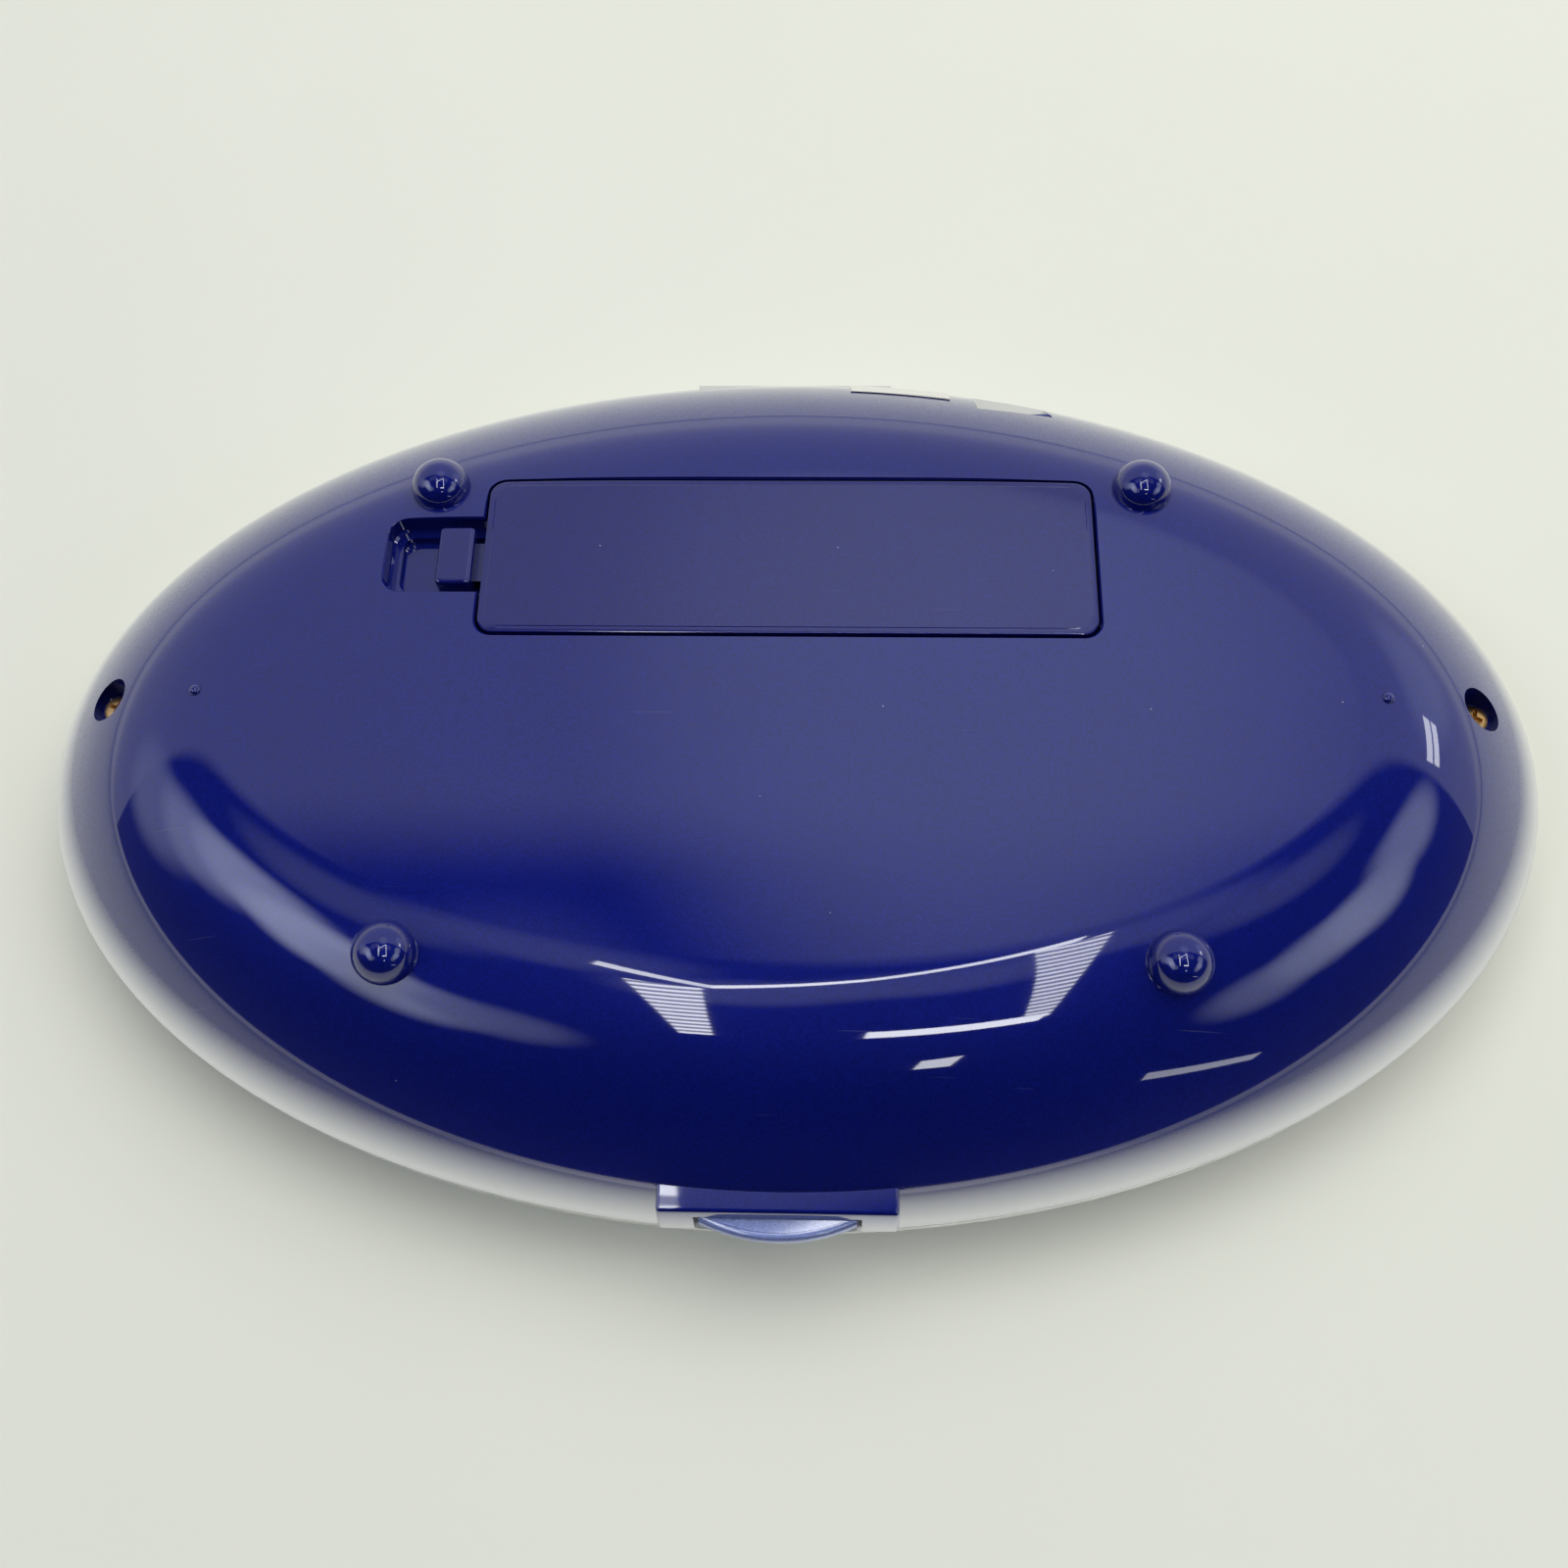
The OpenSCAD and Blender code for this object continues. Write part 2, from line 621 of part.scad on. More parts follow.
module board_screws() {
    color([0.7, 0.7, 0.7]) for (p = board_posts) difference() {
        union() {
            post(p, 2.1, board_z + board_t, board_z + board_t + 1.3);
            post(p, 0.85, board_z - 1.2, board_z + board_t + 0.5);
        }
        for (a = [0, 90]) translate([p[0], p[1], board_z + board_t + 1.3]) rotate([0, 0, a])
            cube([2.4, 0.5, 1.2], center = true);
    }
}

module processor() {
    color(black) slab([24, window_y + 22], 10, 8, 0.3, board_z + board_t, board_z + board_t + 1.4);
}

module buzzer() {
    color(black) difference() {
        post([-26, window_y + 22], 5, board_z + board_t, board_z + board_t + 3.2);
        post([-26, window_y + 22], 0.8, board_z + board_t + 1.5, board_z + board_t + 5);
    }
}

module lcd_panel() {
    color([0.55, 0.62, 0.52])
        slab([0, window_y], window_w + 2, window_d - 1, 0.5, lcd_bottom, lcd_bottom + lcd_t);
}

module lcd_connectors() {
    color([0.75, 0.55, 0.6]) for (s = [-1, 1])
        box([-29, window_y + s * (window_d / 2 - 3) - 1, board_z + board_t],
            [29, window_y + s * (window_d / 2 - 3) + 1, lcd_bottom]);
}

module mat_outline(side, gap, z0, z1) {
    // the oval, cut straight towards the middle of the platform
    intersection() {
        plate(tread_inset + 9 + gap, z0, z1);
        box([side > 0 ? mat_x + gap : -half_w, -half_d, z0 - 1],
            [side > 0 ? half_w : -mat_x - gap, half_d, z1 + 1]);
    }
}

module tread() {
    edge = [[0, tread_z], [-0.2, tread_z + 2], [0, tread_top - 5], [0.5, tread_top - 3.2],
            [1.4, tread_top - 1.8], [2.7, tread_top - 0.8], [4.3, tread_top - 0.2],
            [6.5, tread_top]];
    color([0.72, 0.74, 0.78]) difference() {
        union() {
            difference() {
                stack([for (r = edge) [tread_inset + r[0], 1, r[1]]], tread_z, tread_top);
                plate(tread_inset + tread_wall, tread_z - 1, deck_under);
            }
            for (c = corners) post(c, 5, pad_bottom + pad_t, deck_under + 1);
        }
        for (s = [-1, 1]) mat_outline(s, 0, tread_top - mat_sink, tread_top + 1);
        // display window with a seat for its bezel
        slab([0, window_y], window_w + 6, window_d + 6, 4, tread_top - 1.2, tread_top + 1);
        slab([0, window_y], window_w, window_d, 2, deck_under - 1, tread_top + 1);
    }
}

module push_pads() {
    color([0.1, 0.1, 0.1]) for (c = corners) post(c, 4.2, pad_bottom, pad_bottom + pad_t);
}

module mat(side) {
    color([0.13, 0.14, 0.16]) difference() {
        mat_outline(side, 0.15, tread_top - mat_sink, tread_top - mat_sink + mat_t);
        // grooves across the foot
        for (k = [-5 : 5])
            box([side > 0 ? mat_x + 8 : -half_w, k * 12 - 0.8, tread_top - mat_sink + mat_t - 0.5],
                [side > 0 ? half_w : -mat_x - 8, k * 12 + 0.8, tread_top + 2]);
    }
}

module mat_left() { mat(-1); }
module mat_right() { mat(1); }

module display_bezel() {
    color(black) difference() {
        slab([0, window_y], window_w + 5.6, window_d + 5.6, 3.8, tread_top - 1.2, tread_top + 0.3);
        slab([0, window_y], window_w - 3, window_d - 3, 2, tread_top - 2, tread_top + 1);
        slab([0, window_y], window_w - 0.6, window_d - 0.6, 2, tread_top - 2, tread_top - 0.2);
    }
}

module display_lens() {
    color([0.6, 0.65, 0.7, 0.35])
        slab([0, window_y], window_w - 0.8, window_d - 0.8, 2, tread_top - 1.7, tread_top - 0.2);
}

module toe_tab() {
    bow = tab_proud + 0.9;
    r = (pow(tab_w / 2, 2) + pow(bow, 2)) / (2 * bow);
    mid = -(half_d + tab_proud) + r;
    color([0.45, 0.50, 0.70]) union() {
        intersection() {
            post([0, mid], r, tab_z, tab_z + tab_t);
            box([-tab_w / 2 + 0.05, -half_d - 10, tab_z - 1], [tab_w / 2 - 0.05, mid, tab_z + tab_t + 1]);
            box([-tab_w, -half_d - 10, tab_z - 1], [tab_w, pin_y + 1.6, tab_z + tab_t + 1]);
        }
        // lever that works the switch
        box([-lever_w / 2, pin_y, tab_z + 0.5], [lever_w / 2, lever_y, tab_z + 1.7]);
        // pins at the two ends
        translate([-tab_w / 2 - ear_gap - ear_w, pin_y, pin_z]) rotate([0, 90, 0])
            cylinder(r = pin_r, h = tab_w + 2 * (ear_gap + ear_w) + spring_w);
    }
}

module tab_spring() {
    // torsion spring over the right pin, beside its ear
    coil_r = 0.25;
    color([0.7, 0.7, 0.7])
        translate([tab_half + ear_w + 0.1, pin_y, pin_z]) rotate([0, 90, 0]) union() {
            for (k = [0 : 2]) translate([0, 0, coil_r + k * (2 * coil_r - 0.06)])
                rotate_extrude() translate([pin_r + 0.15 + coil_r, 0]) circle(r = coil_r);
        }
}

module tap_switch() {
    z = deck_z - 3;
    color(black) union() {
        box([-3, lever_y - 6, z], [3, lever_y, deck_z]);
        post([0, lever_y - 3], 1.1, z - 0.5, z + 0.5);
    }
}

module unit_switch() {
    x = notch_x - unit_travel / 2;
    color([0.9, 0.9, 0.9]) union() {
        box([x - knob_w / 2, notch_y - 4.2, knob_z], [x + knob_w / 2, notch_y + 2, knob_z + knob_h]);
        // Three grip ribs on the knob's face
        for (rib = [x - 1.6, x, x + 1.6])
            box([rib - 0.3, notch_y + 1.9, knob_z],
                [rib + 0.3, notch_y + 2.4, knob_z + knob_h]);
    }
}

module unit_switch_body() {
    side = knob_w / 2 + unit_travel / 2 + slot_play;
    color(black) difference() {
        box([notch_x - side - 1.2, notch_y - 7.4, knob_z - 0.9],
            [notch_x + side + 1.2, notch_y - 2.4, deck_z]);
        box([notch_x - side, notch_y - 4.6, knob_z - slot_play],
            [notch_x + side, notch_y, knob_z + knob_h + slot_play]);
    }
}

module placed() {
    translate([0, case_y, 0]) children();
}

placed() base_shell();
placed() battery_cover();
placed() cover_latch();
placed() case_screws();
placed() rear_label();
placed() battery_tray();
placed() battery(0);  // battery_1
placed() battery(1);  // battery_2
placed() battery(2);  // battery_3
placed() battery(3);  // battery_4
placed() contact_negative();
placed() contact_positive();
placed() contact_bridge();
placed() battery_lead();
placed() cell_cradles();
placed() load_cell(0);  // load_cell_1
placed() load_cell(1);  // load_cell_2
placed() load_cell(2);  // load_cell_3
placed() load_cell(3);  // load_cell_4
placed() strain_gauges();
placed() cell_leads();
placed() top_frame();
placed() main_board();
placed() board_screws();
placed() processor();
placed() buzzer();
placed() lcd_panel();
placed() lcd_connectors();
placed() tread();
placed() push_pads();
placed() mat_left();
placed() mat_right();
placed() display_bezel();
placed() display_lens();
placed() toe_tab();
placed() tab_spring();
placed() tap_switch();
placed() unit_switch();
placed() unit_switch_body();
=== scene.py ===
# Compact oval digital bathroom scale: a lacquered base shell with four dome feet, a battery door and
# its catch, two case screws, a toe tab, a rear unit switch, and a floating platform on top.
# Metres. The scale stands on its feet at z = 0, with the toe tab towards -Y.

from math import atan, cos, pi, radians, sin

import bmesh
import bpy
from mathutils import Matrix, Vector


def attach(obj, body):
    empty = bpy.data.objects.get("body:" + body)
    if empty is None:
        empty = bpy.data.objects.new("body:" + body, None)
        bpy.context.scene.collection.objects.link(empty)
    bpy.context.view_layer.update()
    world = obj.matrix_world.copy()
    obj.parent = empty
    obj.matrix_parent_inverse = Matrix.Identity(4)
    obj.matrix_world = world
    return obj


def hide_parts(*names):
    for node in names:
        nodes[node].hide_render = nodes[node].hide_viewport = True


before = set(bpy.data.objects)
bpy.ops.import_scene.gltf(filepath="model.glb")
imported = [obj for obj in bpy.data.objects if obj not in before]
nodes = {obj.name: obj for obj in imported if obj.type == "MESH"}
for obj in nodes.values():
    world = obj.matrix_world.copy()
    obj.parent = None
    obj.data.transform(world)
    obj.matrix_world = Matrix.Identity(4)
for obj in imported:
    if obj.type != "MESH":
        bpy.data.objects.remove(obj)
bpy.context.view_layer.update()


# ---------------------------------------------------------------- base shell
# One injection moulding, sprayed on its outer side with indigo metallic lacquer and a clear
# coat. A flat bottom runs out into a broad falling skirt; feet, pips, collar and wells are part of it.

case_y = 0.001
half_w, half_d = 0.140, 0.0865
rim_z, flat_z = 0.029, 0.004
skirt_run, skirt_power = 0.040, 2.1
wall = 0.0025
sides = 192


def skin_z(inset):
    return flat_z + (rim_z - flat_z) * max(0.0, 1 - inset / skirt_run) ** skirt_power


def skin_ring(inset, depth):
    """Inset and height of the skin, moved inwards by depth along its normal."""
    rise = (rim_z - flat_z) * skirt_power / skirt_run
    lean = atan(rise * max(0.0, 1 - inset / skirt_run) ** (skirt_power - 1))
    return inset + depth * sin(lean), skin_z(inset) + depth * cos(lean)


def inset_at(x, y):
    """How far a point of the plan is inside the outline, up to the edge of the flat bottom."""
    low, high = 0.0, skirt_run
    for _ in range(20):
        middle = (low + high) / 2
        if (x / (half_w - middle)) ** 2 + ((y - case_y) / (half_d - middle)) ** 2 < 1:
            low = middle
        else:
            high = middle
    return low


def clear():
    if bpy.context.object and bpy.context.object.mode != "OBJECT":
        bpy.ops.object.mode_set(mode="OBJECT")
    bpy.ops.object.select_all(action="DESELECT")


def pick(*objects):
    clear()
    for obj in objects:
        obj.select_set(True)
    bpy.context.view_layer.objects.active = objects[0]


def settle(obj):
    """Merges doubles, turns the faces outwards and puts the object's place into its mesh."""
    pick(obj)
    bpy.ops.object.mode_set(mode="EDIT")
    bpy.ops.mesh.select_all(action="SELECT")
    bpy.ops.mesh.remove_doubles(threshold=1e-6)
    bpy.ops.mesh.normals_make_consistent(inside=False)
    bpy.ops.object.mode_set(mode="OBJECT")
    bpy.ops.object.transform_apply(location=True, rotation=True, scale=True)
    return obj


def oval_stack(name, rings, y=case_y, count=sides):
    """A closed solid through oval rings, each an inset from the outline and a height."""
    clear()
    inset, z = rings[0]
    bpy.ops.mesh.primitive_circle_add(vertices=count, radius=1, fill_type="NGON", location=(0, y, z))
    obj = bpy.context.object
    obj.name = name
    bpy.ops.object.mode_set(mode="EDIT")
    bpy.ops.mesh.select_all(action="SELECT")
    bpy.ops.transform.resize(value=(half_w - inset, half_d - inset, 1), center_override=(0, y, z))
    for ring in rings[1:]:
        bpy.ops.mesh.extrude_region_move(TRANSFORM_OT_translate={"value": (0, 0, ring[1] - z)})
        scale = ((half_w - ring[0]) / (half_w - inset), (half_d - ring[0]) / (half_d - inset), 1)
        bpy.ops.transform.resize(value=scale, center_override=(0, y, ring[1]))
        inset, z = ring
    bpy.ops.object.mode_set(mode="OBJECT")
    return settle(obj)


def rounded_block(name, x, y, w, d, r, levels, steps=6):
    """A block with upright rounded corners, through levels of height and growth all round."""
    clear()
    z, grow = levels[0]
    bpy.ops.mesh.primitive_plane_add(size=1, location=(x, y, z))
    obj = bpy.context.object
    obj.name = name
    bpy.ops.object.mode_set(mode="EDIT")
    bpy.ops.mesh.select_all(action="SELECT")
    bpy.ops.transform.resize(value=(w + 2 * grow, d + 2 * grow, 1), center_override=(x, y, z))
    bpy.ops.mesh.bevel(offset=r, segments=steps, affect="VERTICES")
    for level in levels[1:]:
        bpy.ops.mesh.extrude_region_move(TRANSFORM_OT_translate={"value": (0, 0, level[0] - z)})
        scale = ((w + 2 * level[1]) / (w + 2 * grow), (d + 2 * level[1]) / (d + 2 * grow), 1)
        bpy.ops.transform.resize(value=scale, center_override=(x, y, level[0]))
        z, grow = level
    bpy.ops.object.mode_set(mode="OBJECT")
    return settle(obj)


def plain_box(name, low, high, bevel=0.0, segments=2):
    """A box between two corners, its edges rounded by bevel."""
    clear()
    centre = [(a + b) / 2 for a, b in zip(low, high)]
    bpy.ops.mesh.primitive_cube_add(size=1, location=centre)
    obj = bpy.context.object
    obj.name = name
    obj.scale = [b - a for a, b in zip(low, high)]
    bpy.ops.object.transform_apply(location=True, rotation=True, scale=True)
    if bevel:
        bpy.ops.object.mode_set(mode="EDIT")
        bpy.ops.mesh.select_all(action="SELECT")
        bpy.ops.mesh.bevel(offset=bevel, segments=segments, affect="EDGES")
        bpy.ops.object.mode_set(mode="OBJECT")
    return obj


def upright_post(name, x, y, r, low, high, count=64):
    clear()
    bpy.ops.mesh.primitive_cylinder_add(
        vertices=count, radius=r, depth=high - low, location=(x, y, (low + high) / 2)
    )
    bpy.context.object.name = name
    return settle(bpy.context.object)


def joined(name, *objects):
    """Lets separate solids share one mesh."""
    pick(*objects)
    bpy.ops.object.join()
    bpy.context.object.name = name
    return bpy.context.object


def carve(obj, tool, operation="DIFFERENCE"):
    """Cuts a tool away from a piece, or adds or intersects it, and removes the tool."""
    pick(obj)
    bpy.ops.object.modifier_add(type="BOOLEAN")
    cut = obj.modifiers[-1]
    cut.operation, cut.solver, cut.object = operation, "EXACT", tool
    bpy.ops.object.modifier_apply(modifier=cut.name)
    bpy.data.objects.remove(tool)
    return obj


def smooth(obj, angle=30.0):
    """Smooth faces with sharp edges over an angle, the large faces leading the normals."""
    pick(obj)
    bpy.ops.object.shade_smooth_by_angle(angle=radians(angle))
    bpy.ops.object.modifier_add(type="WEIGHTED_NORMAL")
    obj.modifiers[-1].keep_sharp = True
    bpy.ops.object.modifier_apply(modifier=obj.modifiers[-1].name)
    return obj


outer_insets = [skirt_run * (k / 44) ** 1.25 for k in range(1, 45)] + [0.0405, 0.0415]
rim_round = [(0.0003, rim_z), (0.00019, 0.02896), (0.00015, 0.02885), (0.00018, 0.02876)]
inner_rings = [skin_ring(skirt_run * t / 20, wall) for t in range(20, 2, -1)]
shell = oval_stack(
    "base_shell_lacquered",
    inner_rings
    + [(0.005, 0.0258), (0.005, rim_z)]
    + rim_round
    + [(d, skin_z(d)) for d in outer_insets],
)

# what is moulded inside the shell: collar, recess walls, screw tubes, notch walls and columns
bay_y = case_y + 0.0302
opening_w, opening_d = 0.1127, 0.0331
recess_x, recess_w, recess_d = opening_w / 2 + 0.0088, 0.0176, 0.0154
screw_x, screw_y = 0.125, case_y + 0.0046
notch_x, notch_w, notch_y = -0.0444, 0.0152, case_y + 0.0735
feet = [(x * 0.0655, case_y + y * 0.0453) for y in (-1, 1) for x in (-1, 1)]
inside = rounded_block(
    "collar", 0, bay_y, opening_w + 0.0048, opening_d + 0.0048, 0.003, [(0.0042, 0), (0.0092, 0)]
)
recess_walls = plain_box(
    "recess walls",
    (opening_w / 2, bay_y - recess_d / 2 - wall, 0.0042),
    (opening_w / 2 + recess_w + wall, bay_y + recess_d / 2 + wall, 0.0123),
)
inside = carve(inside, recess_walls, "UNION")
parts = [upright_post("tube", s * screw_x, screw_y, 0.006, 0.006, 0.0244) for s in (-1, 1)]
parts += [upright_post("column", x, y, 0.006, 0.0045, 0.0262) for x, y in feet]
parts.append(
    plain_box(
        "notch walls",
        (notch_x - notch_w / 2 - 0.002, notch_y - 0.002, 0.006),
        (notch_x + notch_w / 2 + 0.002, case_y + half_d, rim_z - 0.0001),
    )
)
parts.append(
    plain_box(
        "notch sill",
        (notch_x - notch_w / 2 - 0.002, notch_y - 0.005, 0.006),
        (notch_x + notch_w / 2 + 0.002, notch_y - 0.0015, 0.0228),
    )
)
for part in parts:
    inside = carve(inside, part, "UNION")
room = oval_stack("room", [(0.0008, 0.0295)] + [skin_ring(d, 0.0007) for d in outer_insets[2:]], count=96)
inside = carve(inside, room, "INTERSECT")
shell = carve(shell, inside, "UNION")

# what stands out of it: the front block that carries the toe tab, four feet and two pips
block_half = 0.0203
front_block = plain_box(
    "front block",
    (-block_half, case_y - half_d + 0.0105, rim_z - 0.0074),
    (block_half, case_y - half_d + 0.0023, rim_z - 0.00002),
)
pick(front_block)
bpy.ops.object.mode_set(mode="EDIT")
bpy.ops.mesh.select_all(action="DESELECT")
edit = bmesh.from_edit_mesh(front_block.data)
for v in edit.verts:
    v.select = v.co.y < case_y - half_d + 0.003 and v.co.z > rim_z - 0.001
edit.select_flush(True)
bmesh.update_edit_mesh(front_block.data)
bpy.ops.transform.translate(value=(0, -0.0019, 0))
for v in edit.verts:
    if v.co.y < case_y - half_d + 0.003 and v.co.z < rim_z - 0.005:
        v.co.z += 0.0009
for e in edit.edges:
    a, b = (v.co for v in e.verts)
    e.select = not (min(a.z, b.z) > rim_z - 0.001) and not (min(a.y, b.y) > case_y - half_d + 0.009)
bmesh.update_edit_mesh(front_block.data)
bpy.ops.mesh.bevel(offset=0.0007, segments=4, affect="EDGES")
bpy.ops.object.mode_set(mode="OBJECT")
settle(front_block)
outside = [front_block]
for x, y in feet:
    clear()
    bpy.ops.mesh.primitive_uv_sphere_add(segments=64, ring_count=32, radius=0.0055, location=(x, y, 0.0053))
    bpy.context.object.scale = (1, 1, 0.0053 / 0.0055)
    outside.append(settle(bpy.context.object))
for s in (-1, 1):
    clear()
    x, y = s * 0.1049, case_y + 0.0022
    bpy.ops.mesh.primitive_uv_sphere_add(
        segments=24, ring_count=12, radius=0.0012, location=(x, y, skin_z(inset_at(x, y)) + 0.0004)
    )
    outside.append(settle(bpy.context.object))
shell = carve(shell, joined("outside", *outside), "UNION")

# what is open: battery bay, finger recess, screw wells, slot for the tab, rear notch
cutter = rounded_block(
    "bay cutter", 0, bay_y, opening_w, opening_d, 0.0034,
    [(-0.001, 0.0005), (0.0037, 0.0005), (0.0044, 0), (0.0102, 0)],
)
for s in (-1, 1):
    slot = plain_box(
        "hook slot",
        (-opening_w / 2 - 0.0034, bay_y + s * 0.009 - 0.0043, 0.0075),
        (-opening_w / 2 + 0.001, bay_y + s * 0.009 + 0.0043, 0.0102),
    )
    cutter = carve(cutter, slot, "UNION")
recess = rounded_block(
    "recess cutter", recess_x - 0.0015, bay_y, recess_w + 0.003, recess_d, 0.0036,
    [(-0.0012, 0.0005), (0.0037, 0.0005), (0.0044, 0), (0.0078, 0), (0.0082, -0.0004)],
    steps=10,
)
cutter = carve(cutter, recess, "UNION")
recess = rounded_block(
    "recess floor", recess_x - 0.0024, bay_y, recess_w + 0.0012, recess_d - 0.0036, 0.0024,
    [(0.006, 0), (0.0095, 0), (0.0098, -0.0003)],
    steps=8,
)
cutter = carve(cutter, recess, "UNION")
well_head_z = 0.0179
tab_half = 0.0141
tools = [upright_post("well", s * screw_x, screw_y, 0.0042, -0.001, well_head_z + 0.002) for s in (-1, 1)]
front = case_y - half_d
slot = plain_box("tab slot", (-tab_half, front - 0.005, 0.0244), (tab_half, front + 0.009, 0.031))
spring_room = plain_box("ear room", (-0.0186, front + 0.0018, 0.0249), (0.0186, front + 0.009, 0.031))
slot = carve(slot, spring_room, "UNION")
lever_slot = plain_box("lever slot", (-0.0055, front + 0.004, 0.0235), (0.0055, front + 0.0155, 0.031))
slot = carve(slot, lever_slot, "UNION")
notch = rounded_block(
    "notch cutter", notch_x, notch_y + 0.015, notch_w, 0.03, 0.0012, [(-0.001, 0), (0.031, 0)]
)
knob_slot_half = 0.00485
knob_slot = plain_box(
    "knob slot",
    (notch_x - knob_slot_half, notch_y - 0.005, 0.02405),
    (notch_x + knob_slot_half, notch_y + 0.001, 0.02755),
)
notch = carve(notch, knob_slot, "UNION")
sill = plain_box(
    "sill cutter",
    (notch_x - notch_w / 2, notch_y - 0.0028, -0.001),
    (notch_x + notch_w / 2, notch_y + 0.002, 0.0210),
)
notch = carve(notch, sill, "UNION")
shell = carve(shell, joined("cutters", cutter, *tools, slot, notch))
settle(shell)
smooth(shell, 26)


def socket(group, name, way, kind, value=None):
    made = group.interface.new_socket(name=name, in_out=way, socket_type=kind)
    if value is not None:
        made.default_value = value


def group_tools(group):
    """Short ways to add a node to a tree and to link two sockets."""

    def add(kind, **values):
        node = group.nodes.new("ShaderNode" + kind)
        for key, value in values.items():
            setattr(node, key, value)
        return node

    return add, lambda a, b: group.links.new(a, b)


def ranged(node, low=0.0, high=1.0, to_low=0.0, to_high=1.0):
    """Sets what a map range node reads and gives."""
    for name, value in (("From Min", low), ("From Max", high), ("To Min", to_low), ("To Max", to_high)):
        node.inputs[name].default_value = value


# flakes and clouding in the lacquer, with dust and hairline scratches on top
lacquer_skin = bpy.data.node_groups.new("lacquer skin", "ShaderNodeTree")
socket(lacquer_skin, "Colour", "INPUT", "NodeSocketColor", (0.003, 0.005, 0.14, 1))
socket(lacquer_skin, "Flake", "INPUT", "NodeSocketFloat", 0.5)
socket(lacquer_skin, "Dust", "INPUT", "NodeSocketFloat", 0.5)
socket(lacquer_skin, "Coat Roughness", "INPUT", "NodeSocketFloat", 0.03)
socket(lacquer_skin, "Colour", "OUTPUT", "NodeSocketColor")
socket(lacquer_skin, "Gloss Roughness", "OUTPUT", "NodeSocketFloat")
socket(lacquer_skin, "Roughness", "OUTPUT", "NodeSocketFloat")
socket(lacquer_skin, "Height", "OUTPUT", "NodeSocketFloat")
add, link = group_tools(lacquer_skin)
g_in, g_out = add("TexCoord"), lacquer_skin.nodes.new("NodeGroupOutput")
g_args = lacquer_skin.nodes.new("NodeGroupInput")
flakes = add("TexVoronoi", feature="F1")
flakes.inputs["Scale"].default_value = 3200
link(g_in.outputs["Object"], flakes.inputs["Vector"])
flake_split = add("SeparateColor")
link(flakes.outputs["Color"], flake_split.inputs["Color"])
flake_level = add("MapRange")
ranged(flake_level, 0.0, 1.0, to_low=0.75, to_high=1.3)
link(flake_split.outputs["Red"], flake_level.inputs["Value"])
cloud = add("TexNoise")
cloud.inputs["Scale"].default_value = 28
cloud.inputs["Detail"].default_value = 3
link(g_in.outputs["Object"], cloud.inputs["Vector"])
cloud_level = add("MapRange")
ranged(cloud_level, 0.3, 0.7, to_low=0.93, to_high=1.07)
link(cloud.outputs["Fac"], cloud_level.inputs["Value"])
shade = add("Math", operation="MULTIPLY")
link(flake_level.outputs["Result"], shade.inputs[0])
link(cloud_level.outputs["Result"], shade.inputs[1])
shade_mix = add("Mix", data_type="FLOAT")
shade_mix.inputs["A"].default_value = 1.0
link(g_args.outputs["Flake"], shade_mix.inputs["Factor"])
link(shade.outputs["Value"], shade_mix.inputs["B"])
tint = add("VectorMath", operation="SCALE")
link(g_args.outputs["Colour"], tint.inputs[0])
link(shade_mix.outputs["Result"], tint.inputs["Scale"])
specks = add("TexVoronoi", feature="F1")
specks.inputs["Scale"].default_value = 95
link(g_in.outputs["Object"], specks.inputs["Vector"])
speck_mask = add("Math", operation="LESS_THAN")
speck_mask.inputs[1].default_value = 0.013
link(specks.outputs["Distance"], speck_mask.inputs[0])
scratch_map = add("Mapping")
scratch_map.inputs["Scale"].default_value = (45, 1900, 60)
scratch_map.inputs["Rotation"].default_value = (0, 0, 0.7)
link(g_in.outputs["Object"], scratch_map.inputs["Vector"])
scratch = add("TexNoise")
scratch.inputs["Scale"].default_value = 1.0
scratch.inputs["Detail"].default_value = 1
link(scratch_map.outputs["Vector"], scratch.inputs["Vector"])
scratch_mask = add("MapRange")
ranged(scratch_mask, 0.78, 0.81, to_high=0.12)
link(scratch.outputs["Fac"], scratch_mask.inputs["Value"])
marks = add("Math", operation="MAXIMUM")
link(speck_mask.outputs["Value"], marks.inputs[0])
link(scratch_mask.outputs["Result"], marks.inputs[1])
dusty = add("Math", operation="MULTIPLY")
link(marks.outputs["Value"], dusty.inputs[0])
link(g_args.outputs["Dust"], dusty.inputs[1])
with_dust = add("Mix", data_type="RGBA")
with_dust.inputs["B"].default_value = (0.45, 0.47, 0.55, 1)
link(dusty.outputs["Value"], with_dust.inputs["Factor"])
link(tint.outputs["Vector"], with_dust.inputs["A"])
link(with_dust.outputs["Result"], g_out.inputs["Colour"])
coat_rough = add("Math", operation="MULTIPLY_ADD")
coat_rough.inputs[1].default_value = 0.35
link(dusty.outputs["Value"], coat_rough.inputs[0])
link(g_args.outputs["Coat Roughness"], coat_rough.inputs[2])
link(coat_rough.outputs["Value"], g_out.inputs["Gloss Roughness"])
base_rough = add("MapRange")
ranged(base_rough, to_low=0.36, to_high=0.5)
link(flake_split.outputs["Green"], base_rough.inputs["Value"])
link(base_rough.outputs["Result"], g_out.inputs["Roughness"])
peel = add("TexNoise")
peel.inputs["Scale"].default_value = 260
peel.inputs["Detail"].default_value = 1
link(g_in.outputs["Object"], peel.inputs["Vector"])
link(peel.outputs["Fac"], g_out.inputs["Height"])


